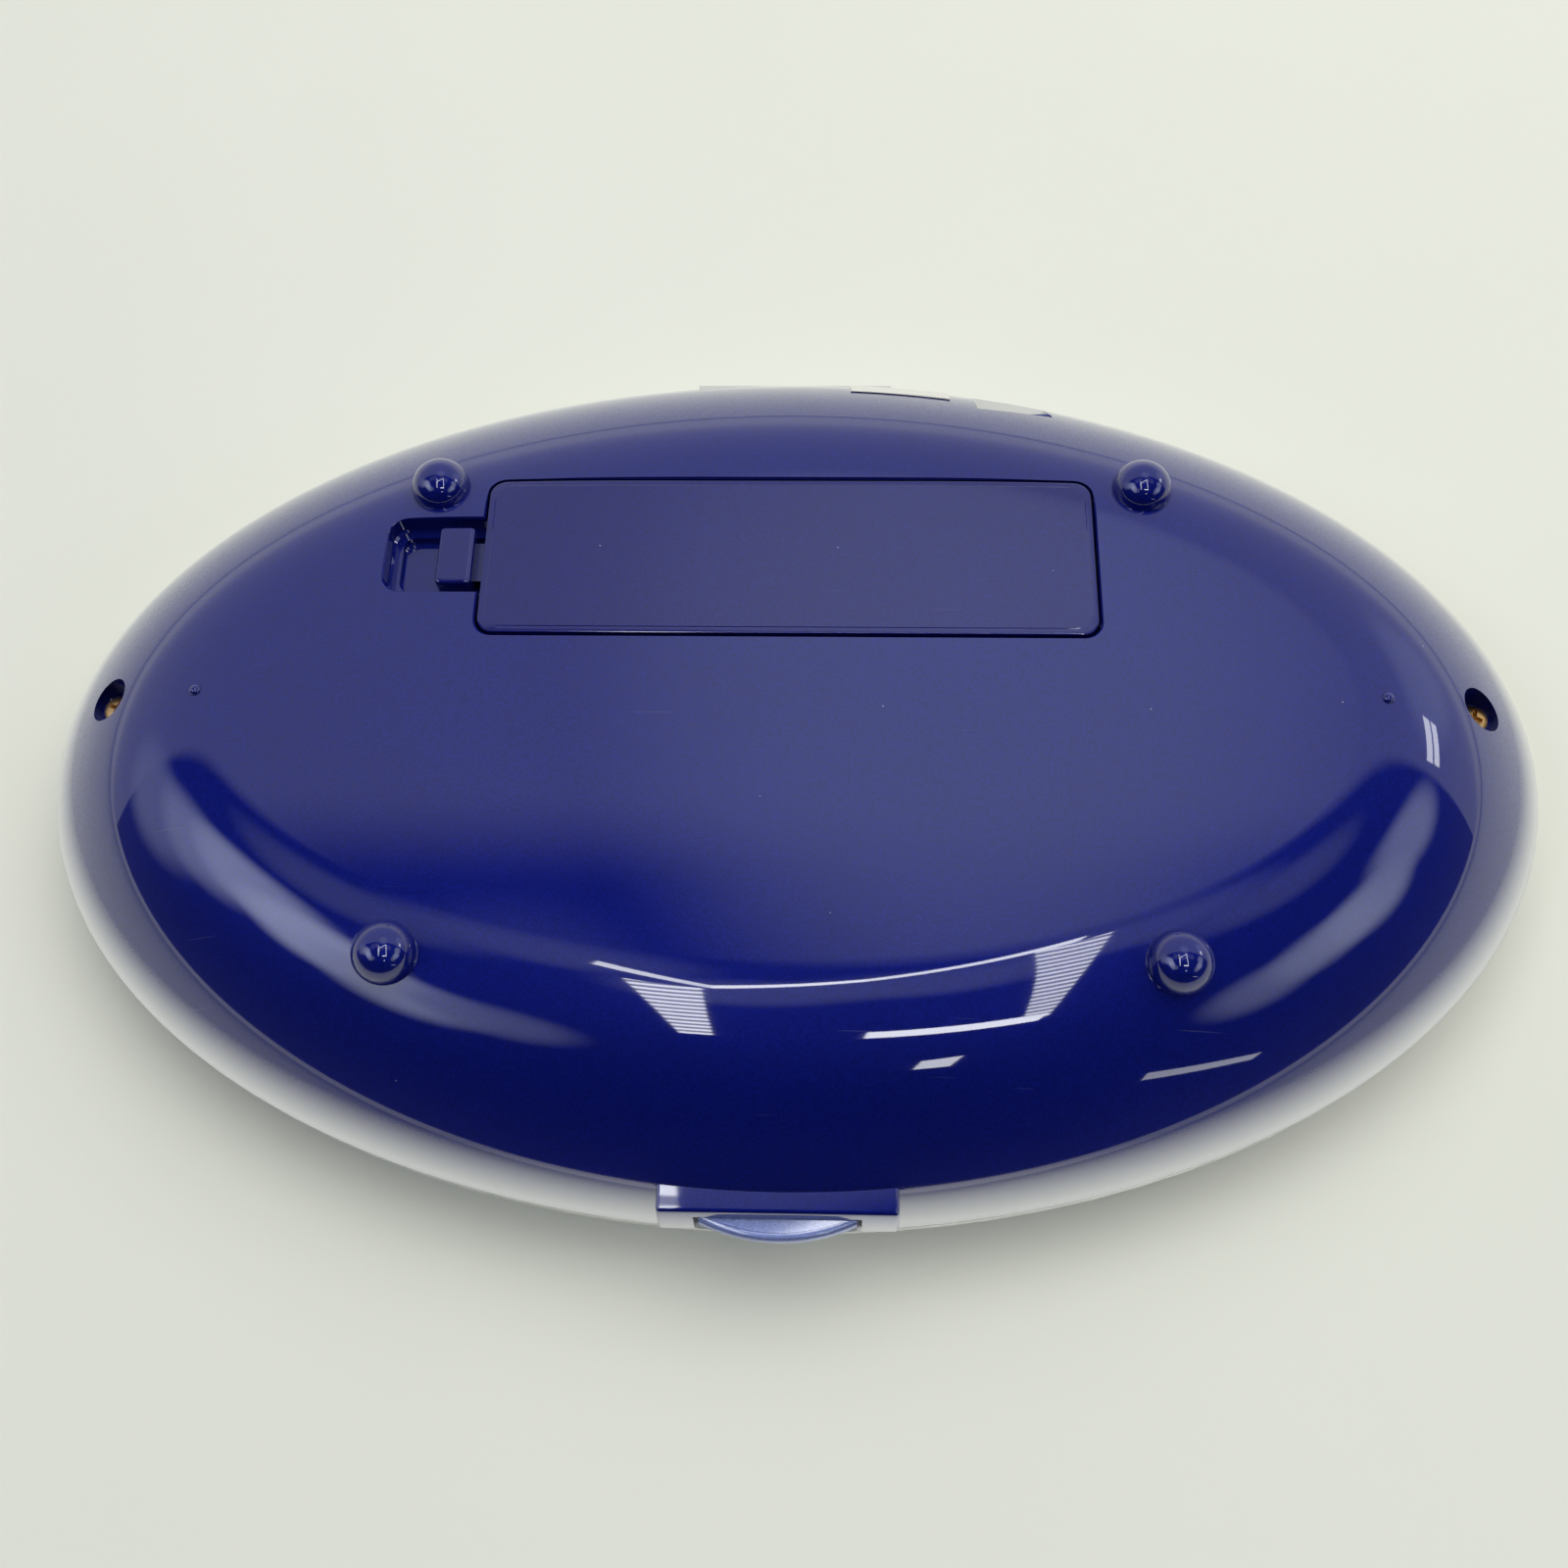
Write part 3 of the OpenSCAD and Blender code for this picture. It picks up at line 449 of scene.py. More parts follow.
def lacquer(name, colour, flake, dust, coat_roughness, peel_depth, rim_mirror=0.8):
    """Metallic lacquer under a clear coat that mirrors more towards the rim."""
    mat = bpy.data.materials.new(name)
    mat.use_nodes = True
    add, link = group_tools(mat.node_tree)
    shader = mat.node_tree.nodes["Principled BSDF"]
    skin = add("Group")
    skin.node_tree = lacquer_skin
    skin.inputs["Colour"].default_value = (*colour, 1)
    skin.inputs["Flake"].default_value = flake
    skin.inputs["Dust"].default_value = dust
    link(skin.outputs["Colour"], shader.inputs["Base Color"])
    link(skin.outputs["Roughness"], shader.inputs["Roughness"])
    bump = add("Bump")
    bump.inputs["Strength"].default_value = 0.35
    bump.inputs["Distance"].default_value = peel_depth
    link(skin.outputs["Height"], bump.inputs["Height"])
    link(bump.outputs["Normal"], shader.inputs["Normal"])
    shader.inputs["Metallic"].default_value = 0.35
    shader.inputs["Specular IOR Level"].default_value = 0.1
    shader.inputs["Coat Weight"].default_value = 1.0
    shader.inputs["Coat IOR"].default_value = 1.8
    shader.inputs["Coat Roughness"].default_value = coat_roughness
    # the thick clear coat that gathers at the rim mirrors its surroundings
    place, height, near_rim = add("TexCoord"), add("SeparateXYZ"), add("MapRange")
    link(place.outputs["Object"], height.inputs[0])
    link(height.outputs["Z"], near_rim.inputs["Value"])
    ranged(near_rim, 0.0212, 0.0280, to_high=rim_mirror)
    shape, lean, sloping, amount = add("NewGeometry"), add("SeparateXYZ"), add("MapRange"), add("Math")
    amount.operation = "MULTIPLY"
    link(shape.outputs["Normal"], lean.inputs[0])
    link(lean.outputs["Z"], sloping.inputs["Value"])
    ranged(sloping, -0.95, -0.85)
    link(near_rim.outputs["Result"], amount.inputs[0])
    link(sloping.outputs["Result"], amount.inputs[1])
    mirror, blend = add("BsdfGlossy"), add("MixShader")
    mirror.inputs["Color"].default_value = (0.93, 0.93, 0.95, 1)
    mirror.inputs["Roughness"].default_value = 0.05
    link(amount.outputs["Value"], blend.inputs["Fac"])
    link(shader.outputs["BSDF"], blend.inputs[1])
    link(mirror.outputs["BSDF"], blend.inputs[2])
    link(blend.outputs["Shader"], mat.node_tree.nodes["Material Output"].inputs["Surface"])
    return mat


def dress(obj, mat):
    obj.data.materials.clear()
    obj.data.materials.append(mat)


indigo = (0.002, 0.007, 0.165)
shell_lacquer = lacquer("indigo lacquer", indigo, 0.8, 0.6, 0.03, 0.000005)
dress(shell, shell_lacquer)
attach(shell, "base")
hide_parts("base_shell")


# ---------------------------------------------------------------- battery door
# A flat lid in the same lacquer, a little more satin. Two hooks at its -X end turn in the shell, and
# its other end carries the thumb catch. A fine raised panel runs just inside its edge.

door_w, door_d, door_t = 0.1118, 0.0322, 0.0022
door = rounded_block(
    "battery_door", 0, bay_y, door_w, door_d, 0.003,
    [(flat_z + door_t, 0), (0.00435, 0), (0.0041, -0.0001), (0.004, -0.00032),
     (0.004, -0.00115), (0.00391, -0.0013)],
)
pick(door)
bpy.ops.object.mode_set(mode="EDIT")
for axis, places in (
    ((1, 0, 0), [s * x for x in (0.026, 0.034, 0.040, 0.045, 0.049, 0.052) for s in (-1, 1)]),
    ((0, 1, 0), [bay_y + y for y in (0.002, 0.006, 0.009, 0.0115, 0.0135)]),
):
    for place in places:
        bpy.ops.mesh.select_all(action="SELECT")
        bpy.ops.mesh.bisect(plane_co=[a * place for a in axis], plane_no=axis)
bpy.ops.object.mode_set(mode="OBJECT")
for v in door.data.vertices:
    v.co.z += skin_z(inset_at(v.co.x, v.co.y)) - flat_z
for s in (-1, 1):
    hook = plain_box(
        "hook",
        (-door_w / 2 - 0.0016, bay_y + s * 0.009 - 0.0035, 0.0079),
        (-door_w / 2 + 0.004, bay_y + s * 0.009 + 0.0035, 0.0089),
    )
    leg = plain_box(
        "hook leg",
        (-door_w / 2 + 0.001, bay_y + s * 0.009 - 0.0035, 0.0055),
        (-door_w / 2 + 0.004, bay_y + s * 0.009 + 0.0035, 0.0088),
    )
    door = carve(door, carve(hook, leg, "UNION"), "UNION")
guide = plain_box(
    "guide",
    (door_w / 2 - 0.009, bay_y - 0.0055, 0.0055),
    (door_w / 2 - 0.001, bay_y + 0.0055, 0.0088),
)
door = carve(door, guide, "UNION")
tongue_slot = plain_box(
    "tongue slot",
    (door_w / 2 - 0.0075, bay_y - 0.0043, 0.0068),
    (door_w / 2 + 0.001, bay_y + 0.0043, 0.0083),
)
door = carve(door, tongue_slot)
settle(door)
smooth(door, 26)
door_lacquer = lacquer("satin indigo lacquer", (0.004, 0.006, 0.14), 0.8, 0.5, 0.1, 0.00001)
dress(door, door_lacquer)
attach(door, "cover")
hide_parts("battery_cover")


# ---------------------------------------------------------------- thumb catch
# The bar that a thumb pulls to free the door. It slides in the door's end on a flat tongue, and its
# four long edges are generously rounded.

catch_x = door_w / 2 + 0.002
catch = rounded_block(
    "thumb_catch", catch_x + 0.0033, bay_y, 0.0066, 0.012, 0.0008,
    [(0.0078, 0), (0.0050, 0), (0.00465, -0.00006), (0.0044, -0.00022), (0.00425, -0.0005),
     (0.0042, -0.0009)],
)
tongue = plain_box(
    "tongue",
    (door_w / 2 - 0.0056, bay_y - 0.004, 0.0071),
    (catch_x + 0.001, bay_y + 0.004, 0.0076),
)
catch = carve(catch, tongue, "UNION")
settle(catch)
smooth(catch, 40)
dress(catch, door_lacquer)
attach(catch, "latch")
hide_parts("cover_latch")


# ---------------------------------------------------------------- toe tab
# A crescent in a lighter blue than the shell, pinned at its ends in the front slot. Its lower edge is
# rounded, with one fine groove along it, and a lever behind it works the tap switch.

tab_w, tab_z, tab_t = 0.0266, 0.0253, 0.003
bow = 0.0029
arc_r = ((tab_w / 2) ** 2 + bow**2) / (2 * bow)
tip_y = front - 0.002
pin_y, pin_z = front + 0.0036, tab_z + tab_t / 2
clear()
levels = [
    (0.0283, -0.0006), (0.02815, -0.0002), (0.0278, 0), (0.0263, 0), (0.0258, -0.00012),
    (0.02545, -0.00045), (0.0253, -0.0009), (0.0253, -0.00125), (0.02545, -0.0013),
    (0.02545, -0.00145), (0.0253, -0.0015),
]
bpy.ops.mesh.primitive_circle_add(
    vertices=360, radius=arc_r + levels[0][1], fill_type="NGON", location=(0, tip_y + arc_r, levels[0][0])
)
tab = bpy.context.object
tab.name = "toe_tab_face"
bpy.ops.object.mode_set(mode="EDIT")
bpy.ops.mesh.select_all(action="SELECT")
for before, level in zip(levels, levels[1:]):
    bpy.ops.mesh.extrude_region_move(TRANSFORM_OT_translate={"value": (0, 0, level[0] - before[0])})
    scale = (arc_r + level[1]) / (arc_r + before[1])
    bpy.ops.transform.resize(value=(scale, scale, 1), center_override=(0, tip_y + arc_r, level[0]))
bpy.ops.object.mode_set(mode="OBJECT")
settle(tab)
pick(tab)
bpy.ops.object.mode_set(mode="EDIT")
for place, normal in (
    ((0, pin_y + 0.0016, 0), (0, 1, 0)),
    ((tab_w / 2 - 0.00005, 0, 0), (1, 0, 0)),
    ((-tab_w / 2 + 0.00005, 0, 0), (-1, 0, 0)),
):
    bpy.ops.mesh.select_all(action="SELECT")
    bpy.ops.mesh.bisect(plane_co=place, plane_no=normal, clear_outer=True, use_fill=True)
bpy.ops.object.mode_set(mode="OBJECT")
lever = plain_box("lever", (-0.0045, pin_y, tab_z + 0.0005), (0.0045, pin_y + 0.011, tab_z + 0.0017))
tab = carve(tab, lever, "UNION")
clear()
bpy.ops.mesh.primitive_cylinder_add(
    vertices=32, radius=0.001, depth=0.0342, location=(0, pin_y, pin_z), rotation=(0, pi / 2, 0)
)
tab = carve(tab, settle(bpy.context.object), "UNION")
settle(tab)
smooth(tab, 30)
dress(tab, lacquer("light blue lacquer", (0.20, 0.25, 0.52), 0.5, 0.3, 0.06, 0.000008, 0.15))
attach(tab, "toe_tab")
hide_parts("toe_tab")


# ---------------------------------------------------------------- moulded and small parts
# The other parts keep their made shape: black and grey mouldings, plated screws and contacts, stamped
# load cells, the cells' printed jackets, boards and leads. Each gets its own finish.

grain = bpy.data.node_groups.new("moulded grain", "ShaderNodeTree")
socket(grain, "Colour", "INPUT", "NodeSocketColor", (0.5, 0.5, 0.5, 1))
socket(grain, "Roughness", "INPUT", "NodeSocketFloat", 0.5)
socket(grain, "Scale", "INPUT", "NodeSocketFloat", 2500.0)
socket(grain, "Wear", "INPUT", "NodeSocketFloat", 0.1)
socket(grain, "Colour", "OUTPUT", "NodeSocketColor")
socket(grain, "Roughness", "OUTPUT", "NodeSocketFloat")
socket(grain, "Height", "OUTPUT", "NodeSocketFloat")
add, link = group_tools(grain)
place, args, out = add("TexCoord"), grain.nodes.new("NodeGroupInput"), grain.nodes.new("NodeGroupOutput")
fine = add("TexNoise")
fine.inputs["Detail"].default_value = 2
link(place.outputs["Object"], fine.inputs["Vector"])
link(args.outputs["Scale"], fine.inputs["Scale"])
patch = add("TexNoise")
patch.inputs["Scale"].default_value = 90
patch.inputs["Detail"].default_value = 4
link(place.outputs["Object"], patch.inputs["Vector"])
patch_level = add("MapRange")
ranged(patch_level, 0.35, 0.65)
link(patch.outputs["Fac"], patch_level.inputs["Value"])
worn = add("Math", operation="MULTIPLY")
link(patch_level.outputs["Result"], worn.inputs[0])
link(args.outputs["Wear"], worn.inputs[1])
lighter = add("Mix", data_type="RGBA")
lighter.inputs["B"].default_value = (0.6, 0.6, 0.6, 1)
link(worn.outputs["Value"], lighter.inputs["Factor"])
link(args.outputs["Colour"], lighter.inputs["A"])
link(lighter.outputs["Result"], out.inputs["Colour"])
rough = add("Math", operation="MULTIPLY_ADD")
rough.inputs[1].default_value = 0.8
link(worn.outputs["Value"], rough.inputs[0])
link(args.outputs["Roughness"], rough.inputs[2])
link(rough.outputs["Value"], out.inputs["Roughness"])
link(fine.outputs["Fac"], out.inputs["Height"])


def finish(
    name, colour, roughness, metallic=0.0, coat=0.0, scale=2500.0, wear=0.1, depth=0.00002, glass=0.0
):
    """A grained finish: moulded plastic, rubber, plate or metal by its values."""
    mat = bpy.data.materials.new(name)
    mat.use_nodes = True
    add, link = group_tools(mat.node_tree)
    shader = mat.node_tree.nodes["Principled BSDF"]
    skin = add("Group")
    skin.node_tree = grain
    skin.inputs["Colour"].default_value = (*colour, 1)
    skin.inputs["Roughness"].default_value = roughness
    skin.inputs["Scale"].default_value = scale
    skin.inputs["Wear"].default_value = wear
    bump = add("Bump")
    bump.inputs["Strength"].default_value = 0.5
    bump.inputs["Distance"].default_value = depth
    link(skin.outputs["Colour"], shader.inputs["Base Color"])
    link(skin.outputs["Roughness"], shader.inputs["Roughness"])
    link(skin.outputs["Height"], bump.inputs["Height"])
    link(bump.outputs["Normal"], shader.inputs["Normal"])
    shader.inputs["Metallic"].default_value = metallic
    shader.inputs["Coat Weight"].default_value = coat
    shader.inputs["Transmission Weight"].default_value = glass
    return mat


black_plastic = finish("black moulded plastic", (0.012, 0.012, 0.014), 0.45, scale=1800)
frame_plastic = finish("pearl silver plastic", (0.60, 0.60, 0.55), 0.32, metallic=0.15, coat=0.4, wear=0.03)
zinc = finish("yellow zinc plate", (0.72, 0.42, 0.13), 0.28, metallic=1.0, scale=900, wear=0.2)
plated = finish("nickel plate", (0.62, 0.60, 0.56), 0.25, metallic=1.0, scale=1200, wear=0.15)
stamped = finish("stamped steel", (0.55, 0.56, 0.58), 0.38, metallic=1.0, scale=700, wear=0.2)
jacket = finish("cell jacket", (0.42, 0.20, 0.05), 0.3, metallic=0.6, coat=0.6, scale=400, wear=0.08)
mask_green = finish("solder mask", (0.01, 0.10, 0.035), 0.4, coat=0.4, scale=500)
display_grey = finish("display glass", (0.24, 0.28, 0.20), 0.2, coat=0.5, scale=200, wear=0.03)
white_plastic = finish("white moulded plastic", (0.72, 0.72, 0.69), 0.4, scale=1500, wear=0.05)
paper = finish("blank sticker paper", (0.70, 0.69, 0.62), 0.6, scale=3500, wear=0.05)
red_wire = finish("red wire", (0.40, 0.015, 0.012), 0.4)
white_wire = finish("white wire", (0.62, 0.62, 0.60), 0.45)
zebra = finish("striped connector rubber", (0.35, 0.22, 0.22), 0.7)
# each cell's jacket is black, with a copper band at its outer end
add, link = group_tools(jacket.node_tree)
shader = jacket.node_tree.nodes["Principled BSDF"]
copper = shader.inputs["Base Color"].links[0].from_socket
place, along = add("TexCoord"), add("SeparateXYZ")
away, band = add("Math", operation="ABSOLUTE"), add("Math", operation="GREATER_THAN")
band.inputs[1].default_value = 0.036
jacket_tone = add("Mix", data_type="RGBA")
jacket_tone.inputs["A"].default_value = (0.012, 0.012, 0.013, 1)
link(place.outputs["Object"], along.inputs[0])
link(along.outputs["X"], away.inputs[0])
link(away.outputs["Value"], band.inputs[0])
link(band.outputs["Value"], jacket_tone.inputs["Factor"])
link(copper, jacket_tone.inputs["B"])
link(jacket_tone.outputs["Result"], shader.inputs["Base Color"])
finishes = {
    "case_screws": zinc, "battery_tray": black_plastic,
    "battery_1": jacket, "battery_2": jacket, "battery_3": jacket, "battery_4": jacket,
    "contact_negative": plated, "contact_positive": plated, "contact_bridge": plated,
    "battery_lead": red_wire, "cell_cradles": black_plastic,
    "load_cell_1": stamped, "load_cell_2": stamped, "load_cell_3": stamped, "load_cell_4": stamped,
    "strain_gauges": white_plastic, "cell_leads": white_wire, "top_frame": frame_plastic,
    "main_board": mask_green, "board_screws": plated, "processor": black_plastic,
    "buzzer": black_plastic, "lcd_panel": display_grey, "lcd_connectors": zebra,
    "tab_spring": plated, "tap_switch": black_plastic, "unit_switch": white_plastic,
    "unit_switch_body": black_plastic,
}
for name, mat in finishes.items():
    dress(nodes[name], mat)


# ---------------------------------------------------------------- rear label
# A blank paper strip that follows the skin just under the rim, beside the unit switch's notch.

clear()
bpy.ops.mesh.primitive_grid_add(x_subdivisions=24, y_subdivisions=10, size=1)
label = bpy.context.object
label.name = "rear_label_strip"
for v in label.data.vertices:
    x, inset = -0.0217 + v.co.x * 0.020, 0.0049 + v.co.y * 0.0086
    lean = atan((rim_z - flat_z) * skirt_power / skirt_run * (1 - inset / skirt_run) ** (skirt_power - 1))
    y = case_y + (half_d - inset) * (1 - (x / (half_w - inset)) ** 2) ** 0.5
    v.co = (x, y + 0.00022 * sin(lean), skin_z(inset) - 0.00022 * cos(lean))
pick(label)
bpy.ops.object.modifier_add(type="SOLIDIFY")
label.modifiers[-1].thickness = 0.0002
label.modifiers[-1].offset = 0
bpy.ops.object.modifier_apply(modifier=label.modifiers[-1].name)
settle(label)
smooth(label, 40)
dress(label, paper)
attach(label, "base")
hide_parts("rear_label")


# ---------------------------------------------------------------- platform
# The silver-painted platform: one moulding with a softly rounded edge, a display window, and two
# sunk seats for the rubber mats. It floats on the four load cells.

tread_z, tread_top, tread_inset = 0.0343, 0.0448, 0.0025
edge = [
    (0.0025, tread_z), (0.0023, 0.0365), (0.0025, 0.0398), (0.0030, 0.0416), (0.0039, 0.0430),
    (0.0052, 0.0440), (0.0068, 0.0446), (0.0090, tread_top),
]
tread = oval_stack("platform_top", [(0.0090, tread_z)] + edge)
under = oval_stack(
    "under cutter",
    [(0.0049, tread_z - 0.001), (0.0049, 0.0390), (0.0070, 0.0410), (0.009, 0.0418)],
)
window_y = case_y - 0.050
cutter = rounded_block(
    "window cutter", 0, window_y, 0.062, 0.027, 0.002,
    [(0.040, 0), (0.0436, 0), (0.0436, 0.003), (0.0445, 0.003), (0.0449, 0.0034), (0.046, 0.0034)],
)
mat_inset = tread_inset + 0.009
mat_half_gap = 0.037
mat_low, mat_top = 0.0438, 0.0454
seats = []
for s in (-1, 1):
    seat = oval_stack("mat seat", [(mat_inset, mat_low), (mat_inset, mat_top + 0.0006)])
    pick(seat)
    bpy.ops.object.mode_set(mode="EDIT")
    bpy.ops.mesh.select_all(action="SELECT")
    bpy.ops.mesh.bisect(
        plane_co=(s * mat_half_gap, 0, 0), plane_no=(-s, 0, 0), clear_outer=True, use_fill=True
    )
    bpy.ops.object.mode_set(mode="OBJECT")
    seats.append(settle(seat))
tread = carve(tread, joined("platform cutters", cutter, *seats))
tread = carve(tread, under)
posts = [upright_post("post", x, y, 0.005, 0.0315, 0.0425) for x, y in feet]
tread = carve(tread, joined("posts", *posts), "UNION")
settle(tread)
smooth(tread, 26)
silver = finish(
    "silver paint", (0.48, 0.50, 0.54), 0.32, metallic=0.6, coat=0.4, scale=5000, wear=0.03, depth=0.00001
)
dress(tread, silver)
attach(tread, "platform")
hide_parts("tread")


# ---------------------------------------------------------------- rubber mats
# Two matt rubber mats glued into the platform's seats, ribbed across the foot for grip.

rubber = finish("matt rubber", (0.018, 0.019, 0.022), 0.78, scale=1400, wear=0.012, depth=0.00004)
glue_gap = 0.00015
rib_pitch, groove_half, groove_depth = 0.0046, 0.0007, 0.0005
groove_start, groove_edge = 0.042, 0.018
for s, node in ((-1, "mat_left"), (1, "mat_right")):
    edge_inset = mat_inset + glue_gap
    pad = oval_stack(
        node + "_ribbed",
        [(edge_inset, mat_low), (edge_inset, mat_top - 0.0003), (edge_inset + 0.0003, mat_top)],
    )
    pick(pad)
    bpy.ops.object.mode_set(mode="EDIT")
    bpy.ops.mesh.select_all(action="SELECT")
    bpy.ops.mesh.bisect(
        plane_co=(s * (mat_half_gap + glue_gap), 0, 0), plane_no=(-s, 0, 0), clear_outer=True, use_fill=True
    )
    bpy.ops.object.mode_set(mode="OBJECT")
    settle(pad)
    grooves = []
    for k in range(-15, 16):
        y = case_y + k * rib_pitch
        share = 1 - ((y - case_y) / (half_d - groove_edge)) ** 2
        reach = (half_w - groove_edge) * max(0.0, share) ** 0.5
        if reach < groove_start + 0.004:
            continue
        near, far = sorted((s * groove_start, s * reach))
        low_corner = (near, y - groove_half, mat_top - groove_depth)
        high_corner = (far, y + groove_half, mat_top + 0.0005)
        grooves.append(plain_box("groove", low_corner, high_corner))
    pad = carve(pad, joined("grooves", *grooves))
    settle(pad)
    smooth(pad, 30)
    dress(pad, rubber)
    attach(pad, "platform")
    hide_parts(node)
dress(nodes["push_pads"], rubber)


# ---------------------------------------------------------------- display bezel and lens
# A glossy black bezel sits in the platform's window and holds a clear lens over the display.

bezel = rounded_block(
    "display_bezel_ring", 0, window_y, 0.0676, 0.0326, 0.0038,
    [(0.0436, 0), (0.0447, 0), (0.04505, -0.0003), (0.0451, -0.0008), (0.0451, -0.0022), (0.0446, -0.0031)],
)
hole = rounded_block("bezel hole", 0, window_y, 0.059, 0.024, 0.002, [(0.042, 0), (0.046, 0)])
bezel = carve(bezel, hole)
hole = rounded_block("lens seat", 0, window_y, 0.0614, 0.0264, 0.002, [(0.042, 0), (0.0446, 0)])
bezel = carve(bezel, hole)
settle(bezel)
smooth(bezel, 30)
gloss_black = finish(
    "gloss black plastic", (0.008, 0.008, 0.01), 0.18, coat=0.8, scale=900, wear=0.02, depth=0.000005
)
dress(bezel, gloss_black)
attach(bezel, "platform")
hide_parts("display_bezel")
lens = rounded_block(
    "display_window", 0, window_y, 0.0612, 0.0262, 0.002, [(0.0431, 0), (0.0445, 0), (0.0446, -0.0001)]
)
smooth(lens, 30)
dress(lens, finish("clear lens", (0.9, 0.93, 0.95), 0.05, glass=1.0, wear=0.0, depth=0.000001))
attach(lens, "platform")
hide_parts("display_lens")


# ---------------------------------------------------------------- floors, light and camera
# The camera looks up at the underside, as if the scale lay on its face: that side has a pale floor at
# the platform's height, seen only from below. Other views see a pale floor under the feet.


def pale_floor(name, z, from_below):
    clear()
    if from_below:
        # open in the middle, where the platform stands, and facing down
        bpy.ops.mesh.primitive_circle_add(
            vertices=96, radius=1, fill_type="NOTHING", location=(0, case_y, z)
        )
        obj = bpy.context.object
        bpy.ops.object.mode_set(mode="EDIT")
        bpy.ops.mesh.select_all(action="SELECT")
        bpy.ops.transform.resize(value=(half_w - 0.012, half_d - 0.012, 1), center_override=(0, case_y, z))
        bpy.ops.mesh.extrude_region_move()
        bpy.ops.transform.resize(value=(40, 60, 1), center_override=(0, case_y, z))
        bpy.ops.mesh.select_all(action="SELECT")
        bpy.ops.mesh.normals_make_consistent(inside=False)
        bpy.ops.object.mode_set(mode="OBJECT")
        if obj.data.polygons[0].normal.z > 0:
            obj.data.flip_normals()
    else:
        bpy.ops.mesh.primitive_plane_add(size=80, location=(0, 0, z))
        obj = bpy.context.object
    obj.name = name
    pick(obj)
    bpy.ops.object.transform_apply(location=True, rotation=True, scale=True)
    mat = bpy.data.materials.new(name)
    mat.use_nodes = True
    add, link = group_tools(mat.node_tree)
    shader = mat.node_tree.nodes["Principled BSDF"]
    shader.inputs["Roughness"].default_value = 0.7
    shader.inputs["Specular IOR Level"].default_value = 0.1
    place, mottle, tone = add("TexCoord"), add("TexNoise"), add("Mix", data_type="RGBA")
    mottle.inputs["Scale"].default_value = 9
    mottle.inputs["Detail"].default_value = 5
    tone.inputs["A"].default_value = (0.785, 0.785, 0.69, 1)
    tone.inputs["B"].default_value = (0.82, 0.82, 0.725, 1)
    link(place.outputs["Object"], mottle.inputs["Vector"])
    link(mottle.outputs["Fac"], tone.inputs["Factor"])
    link(tone.outputs["Result"], shader.inputs["Base Color"])
    side, clear_side, pick_side = add("NewGeometry"), add("BsdfTransparent"), add("MixShader")
    link(side.outputs["Backfacing"], pick_side.inputs["Fac"])
    link(shader.outputs["BSDF"], pick_side.inputs[1])
    link(clear_side.outputs["BSDF"], pick_side.inputs[2])
    link(pick_side.outputs["Shader"], mat.node_tree.nodes["Material Output"].inputs["Surface"])
    dress(obj, mat)
    obj.visible_shadow = False
    obj.visible_diffuse = False
    obj.visible_glossy = from_below
    obj.visible_transmission = from_below


pale_floor("floor seen from below", mat_top + 0.0001, True)
pale_floor("floor seen from above", 0.0, False)
world = bpy.data.worlds.new("studio")
bpy.context.scene.world = world
world.use_nodes = True
add, link = group_tools(world.node_tree)
sky, way, split = world.node_tree.nodes["Background"], add("TexCoord"), add("SeparateXYZ")
link(way.outputs["Generated"], split.inputs[0])
depth = add("Math", operation="MULTIPLY")
depth.inputs[1].default_value = -1.0
link(split.outputs["Z"], depth.inputs[0])
depth_floor = add("Math", operation="MAXIMUM")
depth_floor.inputs[1].default_value = 0.02
link(depth.outputs["Value"], depth_floor.inputs[0])
slant = add("Math", operation="DIVIDE")
link(split.outputs["Y"], slant.inputs[0])
link(depth_floor.outputs["Value"], slant.inputs[1])
edge_of_ceiling = add("MapRange", interpolation_type="SMOOTHSTEP")
ranged(edge_of_ceiling, 0.33, 0.41)
link(slant.outputs["Value"], edge_of_ceiling.inputs["Value"])
ceiling = add("Mix", data_type="RGBA")
ceiling.inputs["A"].default_value = (0.004, 0.004, 0.010, 1)
ceiling.inputs["B"].default_value = (0.44, 0.46, 0.52, 1)
link(edge_of_ceiling.outputs["Result"], ceiling.inputs["Factor"])
wall_edge, wall = add("MapRange", interpolation_type="SMOOTHSTEP"), add("Mix", data_type="RGBA")
ranged(wall_edge, 1.2, 9.0)
wall.inputs["B"].default_value = (0.84, 0.84, 0.78, 1)
link(slant.outputs["Value"], wall_edge.inputs["Value"])
link(wall_edge.outputs["Result"], wall.inputs["Factor"])
link(ceiling.outputs["Result"], wall.inputs["A"])
room = wall.outputs["Result"]
